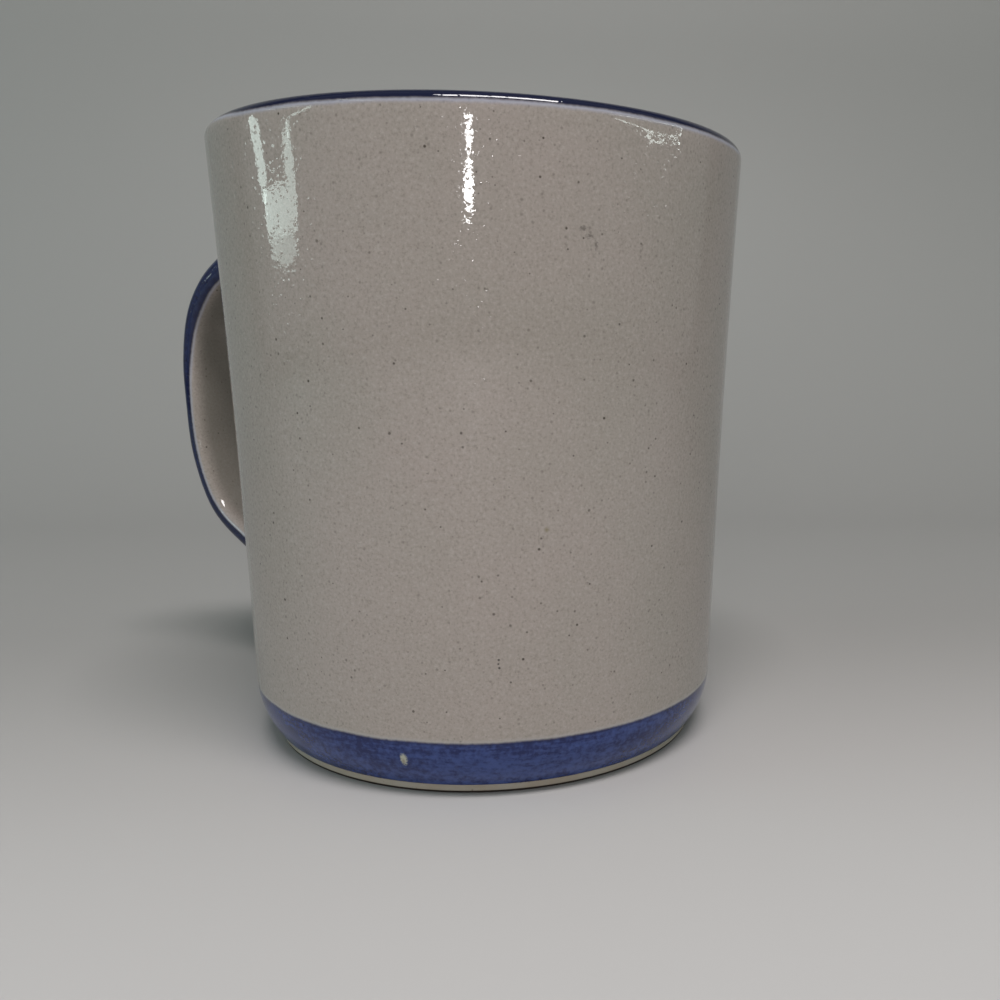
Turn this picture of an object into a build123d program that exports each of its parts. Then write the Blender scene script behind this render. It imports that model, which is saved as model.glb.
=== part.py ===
"""Glazed stoneware mug with a pulled strap handle and cobalt rim and foot bands.

The mug stands on Z = 0 with the cup's axis on Z, and its handle points to +X.
Each coat of glaze is a shell of its own on the clay, and each root of the
handle is bedded in a fillet of slip. All sizes are in millimetres.
"""

from build123d import *
import os

# ---------------------------------------------------------------- driving sizes
mug_height = 95.0
glaze = 0.35

# Glazed cup, outside
rim_radius = 41.7
waist_radius = 40.2
waist_height = 50.0
wall_foot_radius = 39.4
wall_foot_height = 10.0
lip_radius = 1.7
lip_height = mug_height - lip_radius

# Foot ring
foot_radius = 36.0
bare_foot_height = 1.4
foot_chamfer = 0.4
recess_radius = 30.2
recess_depth = 1.8

# Glazed cup, inside
floor_height = 6.2
inner_corner_radius = 9.0
inner_foot_radius = 34.2
inner_rim_radius = rim_radius - 2 * lip_radius

# A cone that runs inside the clay of the wall parts the outer coats from the inner ones
mid_wall_foot_radius = 35.6
mid_wall_rim_radius = rim_radius - lip_radius

# Painted bands
foot_band_top = 9.3
rim_band_outside = mug_height - 1.2
rim_band_inside = mug_height - 3.0

# Strap handle: its centre line in the XZ plane, from the upper to the lower root
strap_points = [
    (36.0, 77.3),
    (46.5, 79.8),
    (55.8, 77.3),
    (63.9, 69.9),
    (66.8, 60.6),
    (67.0, 51.5),
    (66.0, 41.6),
    (61.5, 31.9),
    (53.8, 26.5),
    (45.8, 23.2),
    (36.0, 20.8),
]
# Share of the way down the strap, with its width and its thickness there
strap_stations = [
    (0.00, 24.5, 8.8),
    (0.10, 22.0, 7.2),
    (0.22, 20.6, 6.3),
    (0.35, 20.0, 5.9),
    (0.50, 19.8, 5.7),
    (0.65, 19.6, 5.7),
    (0.80, 19.8, 5.9),
    (0.90, 20.6, 6.4),
    (1.00, 22.4, 7.6),
]
# Right half of the strap's outline, from its crowned face round to its inner face,
# as shares of its half width and half thickness
strap_outline = [
    (0.50, 0.93),
    (0.87, 0.55),
    (1.00, -0.12),
    (0.87, -0.78),
    (0.50, -1.00),
]
bare_edge_share = 0.24
stroke_end_radius = 49.5
stroke_end_height = 34.0

# Slip fillets at the roots
slip_fillet = 3.0
slip_margin = 4.2
slip_reach = 45.8
slip_corner = 6.0
upper_root_height = 78.6
lower_root_height = 21.9

# Room that cutting shapes have to spare
beyond = 60.0
overlap = 4.0

# Half-sections of the cup are drawn opposite the handle, so no seam meets it
turning_plane = Plane(origin=(0, 0, 0), x_dir=(-1, 0, 0), z_dir=(0, 1, 0))


# ---------------------------------------------------------------- the cup's shapes
def cup_section(inset):
    """Half-section of the cup, its glazed surfaces moved into the clay by inset."""
    with BuildSketch() as section:
        with BuildLine():
            wall = ThreePointArc(
                (wall_foot_radius - inset, wall_foot_height),
                (waist_radius - inset, waist_height),
                (rim_radius - inset, lip_height),
            )
            lip = ThreePointArc(
                wall @ 1,
                (rim_radius - lip_radius, mug_height - inset),
                (inner_rim_radius + inset, lip_height),
            )
            inside = FilletPolyline(
                lip @ 1,
                (inner_foot_radius + inset, floor_height - inset),
                (0, floor_height - inset),
                radius=inner_corner_radius,
            )
            underside = Polyline(
                inside @ 1,
                (0, recess_depth + inset),
                (recess_radius, recess_depth + inset),
                (recess_radius, foot_chamfer),
                (recess_radius + foot_chamfer, 0),
                (foot_radius - foot_chamfer, 0),
                (foot_radius, foot_chamfer),
                (foot_radius, bare_foot_height),
            )
            corner_foot = (foot_radius + glaze - inset, bare_foot_height)
            if inset < glaze:
                Line(underside @ 1, corner_foot)
            TangentArc(wall @ 0, corner_foot, tangent=(wall % 0) * -1)
        make_face()
    return section.sketch


def cup_core(inset):
    """The wall's outer shape as a filled block, moved into the clay by inset."""
    with BuildPart() as core:
        with BuildSketch(turning_plane):
            with BuildLine():
                wall = ThreePointArc(
                    (wall_foot_radius - inset, wall_foot_height),
                    (waist_radius - inset, waist_height),
                    (rim_radius - inset, lip_height),
                )
                Polyline(wall @ 1, (0, lip_height), (0, wall_foot_height), wall @ 0)
            make_face()
        revolve(axis=Axis.Z)
    return core.part


def mid_wall(height):
    """Radius at a height of the cone that runs inside the clay of the wall."""
    flare = (mid_wall_rim_radius - mid_wall_foot_radius) / mug_height
    return mid_wall_foot_radius + flare * height


def outside_zone(low, high):
    """Zone of the cup's outside between two heights."""
    return [(mid_wall(low), low), (beyond, low), (beyond, high), (mid_wall(high), high)]


def inside_zone(low, high):
    """Zone of the cup's inside between two heights."""
    return [(0, low), (mid_wall(low), low), (mid_wall(high), high), (0, high)]


def rim_zone(outside, inside):
    """Zone over the lip, down to one height outside and another inside."""
    return [
        (mid_wall(outside), outside),
        (beyond, outside),
        (beyond, mug_height + overlap),
        (0, mug_height + overlap),
        (0, inside),
        (mid_wall(inside), inside),
    ]


def coat_section(zone):
    """Half-section of the cup's glaze within a zone, a polygon of radii and heights."""
    glazed = cup_section(0)
    bare = cup_section(glaze)
    with BuildSketch() as section:
        with BuildLine():
            Polyline(zone, close=True)
        make_face()
        add(glazed, mode=Mode.INTERSECT)
        add(bare, mode=Mode.SUBTRACT)
    return section.sketch


# ---------------------------------------------------------------- the strap's shapes
def strap_profile(width, thickness, inset):
    """Outline of the strap across its length, its crowned face towards +Y."""
    half_width = width / 2 - inset
    half_thickness = thickness / 2 - inset
    right = [(half_width * x, half_thickness * y) for x, y in strap_outline]
    left = [(-x, y) for x, y in reversed(right)]
    with BuildSketch() as profile:
        with BuildLine():
            Spline([(0, half_thickness), *right, (0, -half_thickness), *left], periodic=True)
        make_face()
    return profile.sketch


def glazed_profile(width, thickness):
    """Outline of the glazed strap."""
    return strap_profile(width, thickness, 0)


def clay_profile(width, thickness):
    """Outline of the clay under the strap's glaze."""
    return strap_profile(width, thickness, glaze)


def bare_face_profile(width, thickness):
    """Box across the strap that holds its inner face and the foot of its edges."""
    depth = bare_edge_share * thickness + overlap
    with BuildSketch() as profile:
        with Locations((0, depth / 2 - thickness / 2 - overlap)):
            Rectangle(width + overlap, depth)
    return profile.sketch


def along_strap(profile_at):
    """Loft a profile, given for a width and a thickness, down the strap's line."""
    with BuildLine(Plane.XZ) as line:
        Spline(strap_points)
    profiles = [profile_at(width, thickness) for _, width, thickness in strap_stations]
    with BuildPart() as strap:
        for (share, _, _), profile in zip(strap_stations, profiles):
            place = line.line @ share
            with BuildSketch(Plane(origin=place, x_dir=(0, 1, 0), z_dir=line.line % share)):
                add(profile)
        loft()
    return strap.part


def root_zone(height, width, thickness):
    """Block round one root of the strap that holds its fillet of slip."""
    with BuildPart() as zone:
        with BuildSketch(Plane.YZ.offset(mid_wall(height) - overlap)):
            with Locations((0, height)):
                RectangleRounded(width + 2 * slip_margin, thickness + 2 * slip_margin, slip_corner)
        extrude(amount=slip_reach - mid_wall(height) + overlap)
    return zone.part


def stroke_end_zone():
    """Block round the lower root, where the brush stroke stops short of the cup."""
    with BuildPart() as zone:
        with BuildSketch(Plane.XY):
            with Locations((stroke_end_radius / 2, 0)):
                Rectangle(stroke_end_radius, beyond)
        extrude(amount=stroke_end_height)
    return zone.part


# ---------------------------------------------------------------- shapes that pieces share
clay_section = cup_section(glaze)
outer_section = coat_section(outside_zone(foot_band_top, rim_band_outside))
inner_section = coat_section(inside_zone(overlap, rim_band_inside))
rim_section = coat_section(rim_zone(rim_band_outside, rim_band_inside))
foot_section = coat_section(outside_zone(bare_foot_height, foot_band_top))

outer_clay = cup_core(glaze)
outer_glazed = cup_core(0)
glazed_strap = along_strap(glazed_profile)
clay_strap = along_strap(clay_profile)
bare_face = along_strap(bare_face_profile)
stroke_end = stroke_end_zone()

_, upper_root_width, upper_root_thickness = strap_stations[0]
_, lower_root_width, lower_root_thickness = strap_stations[-1]
upper_zone = root_zone(upper_root_height, upper_root_width, upper_root_thickness)
lower_zone = root_zone(lower_root_height, lower_root_width, lower_root_thickness)

with BuildPart() as bedded_strap:
    add(outer_glazed)
    add(glazed_strap)
    fillet(bedded_strap.edges().filter_by(GeomType.BSPLINE), radius=slip_fillet)

with BuildPart() as strap_coat:
    add(glazed_strap)
    add(clay_strap, mode=Mode.SUBTRACT)
    add(outer_glazed, mode=Mode.SUBTRACT)
    add(upper_zone, mode=Mode.SUBTRACT)
    add(lower_zone, mode=Mode.SUBTRACT)


# ---------------------------------------------------------------- clay
with BuildPart() as clay_body:
    with BuildSketch(turning_plane):
        add(clay_section)
    revolve(axis=Axis.Z)

with BuildPart() as clay_handle:
    add(clay_strap)
    add(outer_clay, mode=Mode.SUBTRACT)


# ---------------------------------------------------------------- slip at the roots
def slip_joint(zone):
    """Fillet of slip and glaze between the cup and one root of the handle."""
    with BuildPart() as joint:
        add(bedded_strap.part)
        add(zone, mode=Mode.INTERSECT)
        add(outer_clay, mode=Mode.SUBTRACT)
        add(clay_strap, mode=Mode.SUBTRACT)
    return joint


upper_slip_joint = slip_joint(upper_zone)
lower_slip_joint = slip_joint(lower_zone)


# ---------------------------------------------------------------- glaze on the cup
with BuildPart() as outer_glaze:
    with BuildSketch(turning_plane):
        add(outer_section)
    revolve(axis=Axis.Z)
    add(upper_zone, mode=Mode.SUBTRACT)
    add(lower_zone, mode=Mode.SUBTRACT)

with BuildPart() as inner_glaze:
    with BuildSketch(turning_plane):
        add(inner_section)
    revolve(axis=Axis.Z)

with BuildPart() as base_glaze:
    with BuildSketch(Plane.XY.offset(recess_depth)):
        Circle(recess_radius)
    extrude(amount=glaze)

with BuildPart() as rim_band:
    with BuildSketch(turning_plane):
        add(rim_section)
    revolve(axis=Axis.Z)

with BuildPart() as foot_band:
    with BuildSketch(turning_plane):
        add(foot_section)
    revolve(axis=Axis.Z)


# ---------------------------------------------------------------- glaze on the handle
with BuildPart() as handle_stripe:
    add(strap_coat.part)
    add(bare_face, mode=Mode.SUBTRACT)
    add(stroke_end, mode=Mode.SUBTRACT)

with BuildPart() as handle_glaze:
    add(strap_coat.part)
    add(handle_stripe.part, mode=Mode.SUBTRACT)


# ---------------------------------------------------------------- export
pieces = {
    "clay_body": clay_body,
    "clay_handle": clay_handle,
    "upper_slip_joint": upper_slip_joint,
    "lower_slip_joint": lower_slip_joint,
    "outer_glaze": outer_glaze,
    "inner_glaze": inner_glaze,
    "base_glaze": base_glaze,
    "rim_band": rim_band,
    "foot_band": foot_band,
    "handle_glaze": handle_glaze,
    "handle_stripe": handle_stripe,
}

os.makedirs("parts", exist_ok=True)
for label, piece in pieces.items():
    piece.part.label = label
    export_step(piece.part, f"parts/{label}.step")
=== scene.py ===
"""Looks of a glazed stoneware mug with a strap handle and cobalt bands.

The cup and the strap are each modelled as one thrown or pulled surface. Every
coat of glaze is then cut from that surface and given its thickness, so that
the coats meet without a step, as they do where one brushed colour runs into
the next under a clear glaze. Lengths are in metres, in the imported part's frame.
"""

from __future__ import annotations

import logging
import math
from bisect import bisect_right
from dataclasses import dataclass, field
from enum import Enum
from functools import cached_property
from typing import Callable, Sequence, TypeVar

import bmesh
import bpy
from bmesh.types import BMesh
from mathutils import Matrix, Vector, noise

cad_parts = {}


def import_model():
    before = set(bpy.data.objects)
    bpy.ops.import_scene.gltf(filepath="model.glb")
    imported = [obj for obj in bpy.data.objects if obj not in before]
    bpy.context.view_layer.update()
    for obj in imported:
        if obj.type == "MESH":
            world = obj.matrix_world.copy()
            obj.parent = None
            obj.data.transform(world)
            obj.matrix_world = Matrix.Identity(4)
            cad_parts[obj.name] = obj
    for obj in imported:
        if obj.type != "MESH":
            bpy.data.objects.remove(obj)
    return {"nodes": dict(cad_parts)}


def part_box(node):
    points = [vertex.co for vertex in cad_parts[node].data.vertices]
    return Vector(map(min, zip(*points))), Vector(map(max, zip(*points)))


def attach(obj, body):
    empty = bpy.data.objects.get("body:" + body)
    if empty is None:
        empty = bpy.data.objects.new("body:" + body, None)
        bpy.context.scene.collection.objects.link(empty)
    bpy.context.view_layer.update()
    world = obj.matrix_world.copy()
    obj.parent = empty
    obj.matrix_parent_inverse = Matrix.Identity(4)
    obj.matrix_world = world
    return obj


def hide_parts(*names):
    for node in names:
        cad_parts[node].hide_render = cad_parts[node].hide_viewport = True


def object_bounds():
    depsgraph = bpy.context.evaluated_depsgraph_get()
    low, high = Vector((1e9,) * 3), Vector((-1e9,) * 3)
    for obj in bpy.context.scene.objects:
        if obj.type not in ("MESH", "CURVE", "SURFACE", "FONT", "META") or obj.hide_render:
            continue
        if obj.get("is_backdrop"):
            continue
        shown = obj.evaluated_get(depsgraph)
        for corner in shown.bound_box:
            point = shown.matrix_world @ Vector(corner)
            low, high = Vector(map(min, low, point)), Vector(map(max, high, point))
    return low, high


LOG = logging.getLogger("mug")
MM = 0.001
BODY = "root"
PAINT_DEPTH = "paint_depth"
BRUSH_PLACE = "brush_place"
PAINT_LOAD = "paint_load"
PAINTED_INNER_SHADE = "inner_face_shade"
TRUE_NORMAL = "true_normal"
COAT_NUMBER = "coat_number"
MERGE_GAP = 0.001 * MM
SHARP_ANGLE = math.radians(50)
NORMAL_MATCH = 0.5

Point2 = tuple[float, float]
Point3 = tuple[float, float, float]
Ring = list[Vector]
Place = TypeVar("Place", float, Vector)


class Slot(Enum):
    """Material slots of the part's record."""

    STONEWARE = "stoneware"
    SPECKLED = "speckled_glaze"
    COBALT = "cobalt_glaze"


# ------------------------------------------------------------------ plane geometry
@dataclass(frozen=True)
class Arc:
    """Circular arc in the plane of radius and height."""

    centre: Point2
    radius: float
    start: float
    sweep: float

    @classmethod
    def about(cls, centre: Point2, first: Point2, last: Point2) -> Arc:
        """Shorter arc between two points.

        Args:
            centre: Centre of the arc.
            first: Point where it starts.
            last: Point where it ends.

        Returns:
            The arc from first to last.
        """
        start = math.atan2(first[1] - centre[1], first[0] - centre[0])
        end = math.atan2(last[1] - centre[1], last[0] - centre[0])
        sweep = (end - start + math.pi) % math.tau - math.pi
        return cls(centre, math.dist(centre, first), start, sweep)

    @classmethod
    def through(cls, first: Point2, middle: Point2, last: Point2) -> Arc:
        """Arc through three points.

        Args:
            first: One end.
            middle: A point between the ends.
            last: The other end.

        Returns:
            The arc from first to last.
        """
        chord = (middle[0] - first[0], middle[1] - first[1])
        far = (last[0] - middle[0], last[1] - middle[1])
        whole = (last[0] - first[0], last[1] - first[1])
        turn = chord[0] * far[1] - chord[1] * far[0]
        reach = (far[0] * whole[0] + far[1] * whole[1]) / (2 * turn)
        half = ((first[0] + middle[0]) / 2, (first[1] + middle[1]) / 2)
        return cls.about((half[0] - chord[1] * reach, half[1] + chord[0] * reach), first, last)

    @classmethod
    def leaving(cls, first: Point2, normal: Point2, last: Point2) -> Arc:
        """Arc that leaves a point at right angles to a direction.

        Args:
            first: Point where it starts.
            normal: Direction from the start towards the arc's centre.
            last: Point where it ends.

        Returns:
            The arc from first to last.
        """
        gap = (last[0] - first[0], last[1] - first[1])
        square = gap[0] ** 2 + gap[1] ** 2
        radius = square / (2 * (gap[0] * normal[0] + gap[1] * normal[1]))
        return cls.about((first[0] + normal[0] * radius, first[1] + normal[1] * radius), first, last)

    def point(self, share: float) -> Point2:
        """Point a share of the way along the arc.

        Args:
            share: 0 at the start of the arc and 1 at its end.

        Returns:
            The point.
        """
        angle = self.start + self.sweep * share
        return (
            self.centre[0] + self.radius * math.cos(angle),
            self.centre[1] + self.radius * math.sin(angle),
        )

    def points(self, steps: int) -> list[Point2]:
        """Evenly spaced points, both ends included."""
        return [self.point(index / steps) for index in range(steps + 1)]


def spread(first: Point2, last: Point2, steps: int) -> list[Point2]:
    """Evenly spaced points on a straight line, both ends included.

    Args:
        first: One end.
        last: The other end.
        steps: Number of gaps between the points.

    Returns:
        The points, from first to last.
    """
    return [
        (mix(first[0], last[0], index / steps), mix(first[1], last[1], index / steps))
        for index in range(steps + 1)
    ]


def mix(low: float, high: float, share: float) -> float:
    """Value a share of the way from low to high."""
    return low + (high - low) * share


def ease(low: float, high: float, value: float) -> float:
    """Smooth step from 0 at low to 1 at high."""
    share = min(1.0, max(0.0, (value - low) / (high - low)))
    return share * share * (3 - 2 * share)


def wavering(place: Vector, seed: Point3) -> float:
    """Smooth noise from 0 to 1 at a place, read a seed's distance away from it."""
    return 0.5 + 0.5 * noise.noise(place + Vector(seed))


# ------------------------------------------------------------------ the cup's form
@dataclass(frozen=True)
class CupForm:
    """True form of the glazed cup, before the maker's hand strays from it."""

    height: float
    rim_radius: float
    glaze: float
    bare_foot: float
    foot_band_top: float
    rim_band_outside: float
    rim_band_inside: float
    recess_radius: float
    recess_depth: float
    floor_height: float
    foot_radius: float = 36.0 * MM
    waist_radius: float = 40.2 * MM
    waist_height: float = 50.0 * MM
    wall_foot_radius: float = 39.4 * MM
    wall_foot_height: float = 10.0 * MM
    lip_radius: float = 1.7 * MM
    inner_foot_radius: float = 34.2 * MM
    inner_corner_radius: float = 9.0 * MM
    coat_share: float = 0.9

    @classmethod
    def from_frame(cls) -> CupForm:
        """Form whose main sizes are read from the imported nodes.

        Returns:
            The form, its other sizes as they are set here.
        """
        base_low, base_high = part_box("base_glaze")
        foot_low, foot_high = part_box("foot_band")
        glaze = base_high.z - base_low.z
        return cls(
            height=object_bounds()[1].z,
            rim_radius=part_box("clay_body")[1].y + glaze,
            glaze=glaze,
            bare_foot=foot_low.z,
            foot_band_top=foot_high.z,
            rim_band_outside=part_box("outer_glaze")[1].z,
            rim_band_inside=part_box("rim_band")[0].z,
            recess_radius=base_high.y,
            recess_depth=base_low.z,
            floor_height=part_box("inner_glaze")[0].z + glaze,
        )

    @property
    def lip_height(self) -> float:
        """Height of the centre of the rolled lip."""
        return self.height - self.lip_radius

    @property
    def lip_centre(self) -> float:
        """Radius at which the rolled lip is centred."""
        return self.rim_radius - self.lip_radius

    @property
    def coat_thickness(self) -> float:
        """Thickness of a modelled coat, a little less than the glaze, so that it clears the clay."""
        return self.glaze * self.coat_share

    def wall_arc(self) -> Arc:
        """Outside of the wall, from the foot's corner to the lip.

        Returns:
            The arc, on the surface of the glaze.
        """
        return Arc.through(
            (self.wall_foot_radius, self.wall_foot_height),
            (self.waist_radius, self.waist_height),
            (self.rim_radius, self.lip_height),
        )

    def corner_arc(self, foot_radius: float) -> Arc:
        """Rounded corner under the wall.

        Args:
            foot_radius: Radius of the corner's lower end, at the bare foot's top.

        Returns:
            The arc from the wall down to the foot.
        """
        wall = self.wall_arc()
        foot = (self.wall_foot_radius, self.wall_foot_height)
        normal = (
            -(wall.centre[0] - foot[0]) / wall.radius,
            -(wall.centre[1] - foot[1]) / wall.radius,
        )
        return Arc.leaving(foot, normal, (foot_radius, self.bare_foot))

    def wall_radius(self, height: float) -> float:
        """Radius of the glazed outside of the wall at a height above the corner."""
        wall = self.wall_arc()
        return wall.centre[0] - math.sqrt(wall.radius**2 - (height - wall.centre[1]) ** 2)

    def is_outside(self, place: Vector) -> bool:
        """Whether a point of the glazed surface lies on the outside of the cup."""
        middle = mix(self.foot_radius, self.lip_centre, place.z / self.height)
        return math.hypot(place.x, place.y) > middle


@dataclass(frozen=True)
class ThrownDrift:
    """How far the thrown wall strays inwards from its true form."""

    lobe_depth: float = 0.10 * MM
    lobe_size: float = 26 * MM
    lobe_seed: Point3 = (3.1, 7.7, 1.3)
    ripple_depth: float = 0.012 * MM
    ripple_size: float = 6 * MM
    ripple_stretch: float = 4.0
    ripple_seed: Point3 = (5.2, 0.4, 9.6)
    lip_dip: float = 0.10 * MM
    lip_zone: float = 8 * MM
    lip_waves: float = 1.4
    lip_seed: Point3 = (0.7, 0.2, 4.0)
    still_core: float = 12 * MM

    def strayed(self, place: Vector, height: float) -> Vector:
        """Place that a point of the true form has on the finished cup.

        Args:
            place: Point of the true form.
            height: Height of the cup.

        Returns:
            The same point moved inwards and, near the lip, a little down.
        """
        lobes = wavering(place / self.lobe_size, self.lobe_seed)
        flat = Vector((place.x / self.ripple_stretch, place.y / self.ripple_stretch, place.z))
        ripples = wavering(flat / self.ripple_size, self.ripple_seed)
        inward = self.lobe_depth * lobes + self.ripple_depth * ripples
        radius = max(math.hypot(place.x, place.y), self.still_core)
        inward *= ease(self.still_core, 2 * self.still_core, radius)
        shrink = 1 - inward / radius
        around = Vector((place.x, place.y, 0)) / radius
        dip = self.lip_dip * wavering(around * self.lip_waves, self.lip_seed)
        lowered = place.z - dip * ease(height - self.lip_zone, height, place.z)
        return Vector((place.x * shrink, place.y * shrink, lowered))


# ------------------------------------------------------------------ mesh steps
def face_outwards(bm: BMesh, inside: Callable[[Vector], Vector]) -> None:
    """Turn a surface so that its faces look away from its inside.

    Args:
        bm: Surface in one piece.
        inside: Gives a point inside the piece next to a point of its surface.
    """
    bmesh.ops.recalc_face_normals(bm, faces=bm.faces[:])
    votes = 0
    for face in bm.faces:
        centre = face.calc_center_median()
        votes += 1 if face.normal.dot(centre - inside(centre)) > 0 else -1
    if votes < 0:
        bmesh.ops.reverse_faces(bm, faces=bm.faces[:])
    bm.normal_update()


def keep_normals(bm: BMesh) -> None:
    """Store the vertex normals of a whole surface before coats are cut from it.

    Args:
        bm: The whole surface, with its faces turned outwards.
    """
    layer = bm.verts.layers.float_vector.new(TRUE_NORMAL)
    for vert in bm.verts:
        vert[layer] = vert.normal


def taken_normals(bm: BMesh) -> list[Point3]:
    """Take the kept normals out of a mesh.

    Args:
        bm: Mesh of a coat, or of a piece whose normals weren't kept.

    Returns:
        The normal of each face corner, zero where the corner isn't on the outside,
        and nothing for a mesh without kept normals.
    """
    layer = bm.verts.layers.float_vector.get(TRUE_NORMAL)
    if layer is None:
        return []
    normals = []
    for face in bm.faces:
        for loop in face.loops:
            kept = loop.vert[layer]
            outside = kept.length > NORMAL_MATCH and face.normal.dot(kept) > NORMAL_MATCH
            normals.append(tuple(kept) if outside else (0.0, 0.0, 0.0))
    bm.verts.layers.float_vector.remove(layer)
    return normals


def turned(profile: Sequence[Point2], steps: int) -> BMesh:
    """Turn a profile of radii and heights about the cup's axis.

    Args:
        profile: Points in order along the profile.
        steps: Number of steps in the full turn.

    Returns:
        The turned surface, with its seam and its poles merged.
    """
    bm = bmesh.new()
    verts = [bm.verts.new((radius, 0, height)) for radius, height in profile]
    edges = [bm.edges.new(pair) for pair in zip(verts, verts[1:])]
    bmesh.ops.spin(
        bm,
        geom=verts + edges,
        cent=(0, 0, 0),
        axis=(0, 0, 1),
        dvec=(0, 0, 0),
        angle=math.tau,
        steps=steps,
        use_merge=True,
        use_normal_flip=False,
        use_duplicate=False,
    )
    bmesh.ops.remove_doubles(bm, verts=bm.verts[:], dist=MERGE_GAP)
    return bm


def finished_object(bm: BMesh, name: str) -> bpy.types.Object:
    """Make a shaded object from a mesh, with the kept normals on its outside.

    Args:
        bm: The piece's mesh, freed here.
        name: Name of the piece.

    Returns:
        The object, linked to the scene.
    """
    bm.normal_update()
    for edge in bm.edges:
        if edge.is_manifold and edge.calc_face_angle(0.0) > SHARP_ANGLE:
            edge.smooth = False
    for face in bm.faces:
        face.smooth = True
    normals = taken_normals(bm)
    mesh = bpy.data.meshes.new(name)
    bm.to_mesh(mesh)
    bm.free()
    if normals:
        mesh.normals_split_custom_set(normals)
    piece = bpy.data.objects.new(name, mesh)
    bpy.context.scene.collection.objects.link(piece)
    return piece


# ------------------------------------------------------------------ shader graphs
Socket = bpy.types.NodeSocket
Sockets = bpy.types.bpy_prop_collection
Source = Socket | float | Sequence[float]


@dataclass
class Graph:
    """A node tree, with short calls that add nodes and join their sockets."""

    tree: bpy.types.NodeTree

    def node(self, kind: str, **settings: object) -> bpy.types.Node:
        """Add a node and set its properties.

        Args:
            kind: Type of the node.
            settings: Value of each property by its name.

        Returns:
            The node.
        """
        made = self.tree.nodes.new(kind)
        for name, value in settings.items():
            setattr(made, name, value)
        return made

    def feed(self, target: Socket, source: Source) -> None:
        """Join a socket to a source, or set its value.

        Args:
            target: Input to feed.
            source: Output to join it to, or the value to give it.
        """
        if isinstance(source, Socket):
            self.tree.links.new(source, target)
        else:
            target.default_value = source

    def fed(self, node: bpy.types.Node, *sources: Source) -> bpy.types.Node:
        """The same node, with its first inputs fed in order.

        Args:
            node: The node.
            sources: What each input takes.

        Returns:
            The node.
        """
        for target, source in zip(node.inputs, sources):
            self.feed(target, source)
        return node

    def math(self, operation: str, *values: Source) -> Socket:
        """Output of a Math node."""
        return self.fed(self.node("ShaderNodeMath", operation=operation), *values).outputs[0]

    def times(self, first: Source, second: Source) -> Socket:
        """Product of two numbers."""
        return self.math("MULTIPLY", first, second)

    def plus(self, first: Source, second: Source) -> Socket:
        """Sum of two numbers."""
        return self.math("ADD", first, second)

    def rest(self, share: Source) -> Socket:
        """What a share leaves over from 1."""
        return self.math("SUBTRACT", 1.0, share)

    def per(self, size: Source) -> Source:
        """Scale of a texture whose features have a given size."""
        return self.math("DIVIDE", 1.0, size) if isinstance(size, Socket) else 1 / size

    def vector_math(self, operation: str, *vectors: Source) -> bpy.types.Node:
        """Vector Math node with its inputs fed."""
        return self.fed(self.node("ShaderNodeVectorMath", operation=operation), *vectors)

    def rise(self, place: Socket) -> Socket:
        """Z of a place or of a direction."""
        return self.fed(self.node("ShaderNodeSeparateXYZ"), place).outputs["Z"]

    def step(self, value: Socket, low: Source, high: Source) -> Socket:
        """Smooth step of a value from 0 at low to 1 at high."""
        made = self.node("ShaderNodeMapRange", interpolation_type="SMOOTHSTEP")
        return self.fed(made, value, low, high, 0.0, 1.0).outputs[0]

    def noise(self, place: Socket, size: Source, detail: float = 2.0, roughness: float = 0.5) -> Socket:
        """Value of a Noise Texture.

        Args:
            place: Where the noise is read.
            size: Size of its largest features.
            detail: Number of finer layers.
            roughness: How strongly the finer layers show.

        Returns:
            The noise, about 0.5 on average.
        """
        made = self.node("ShaderNodeTexNoise")
        self.feed(made.inputs["Vector"], place)
        self.feed(made.inputs["Scale"], self.per(size))
        made.inputs["Detail"].default_value = detail
        made.inputs["Roughness"].default_value = roughness
        return made.outputs[0]

    def blend(self, share: Source, first: Source, second: Source) -> Socket:
        """Mix of two colours.

        Args:
            share: Share of the second colour.
            first: Colour at a share of 0.
            second: Colour at a share of 1.

        Returns:
            The mixed colour.
        """
        made = self.node("ShaderNodeMix", data_type="RGBA")
        for index, source in ((0, share), (6, first), (7, second)):
            self.feed(made.inputs[index], source)
        return made.outputs[2]

    def attribute(self, name: str, output: str = "Fac") -> Socket:
        """One of the piece's own attributes."""
        made = self.node("ShaderNodeAttribute", attribute_name=name, attribute_type="GEOMETRY")
        return made.outputs[output]

    def group(self, tree: bpy.types.NodeTree, **values: Source) -> Sockets:
        """Place a node group.

        Args:
            tree: The group.
            values: Its inputs, named with underscores for spaces.

        Returns:
            The outputs of the placed group.
        """
        made = self.node("ShaderNodeGroup", node_tree=tree)
        for name, value in values.items():
            self.feed(made.inputs[name.replace("_", " ")], value)
        return made.outputs

    def bump(self, height: Socket) -> Socket:
        """Normal of a surface that stands up by a height in metres.

        Args:
            height: Height of each point.

        Returns:
            The normal.
        """
        made = self.node("ShaderNodeBump")
        made.inputs["Strength"].default_value = 1.0
        made.inputs["Distance"].default_value = 1.0
        self.feed(made.inputs["Height"], height)
        return made.outputs[0]


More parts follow.
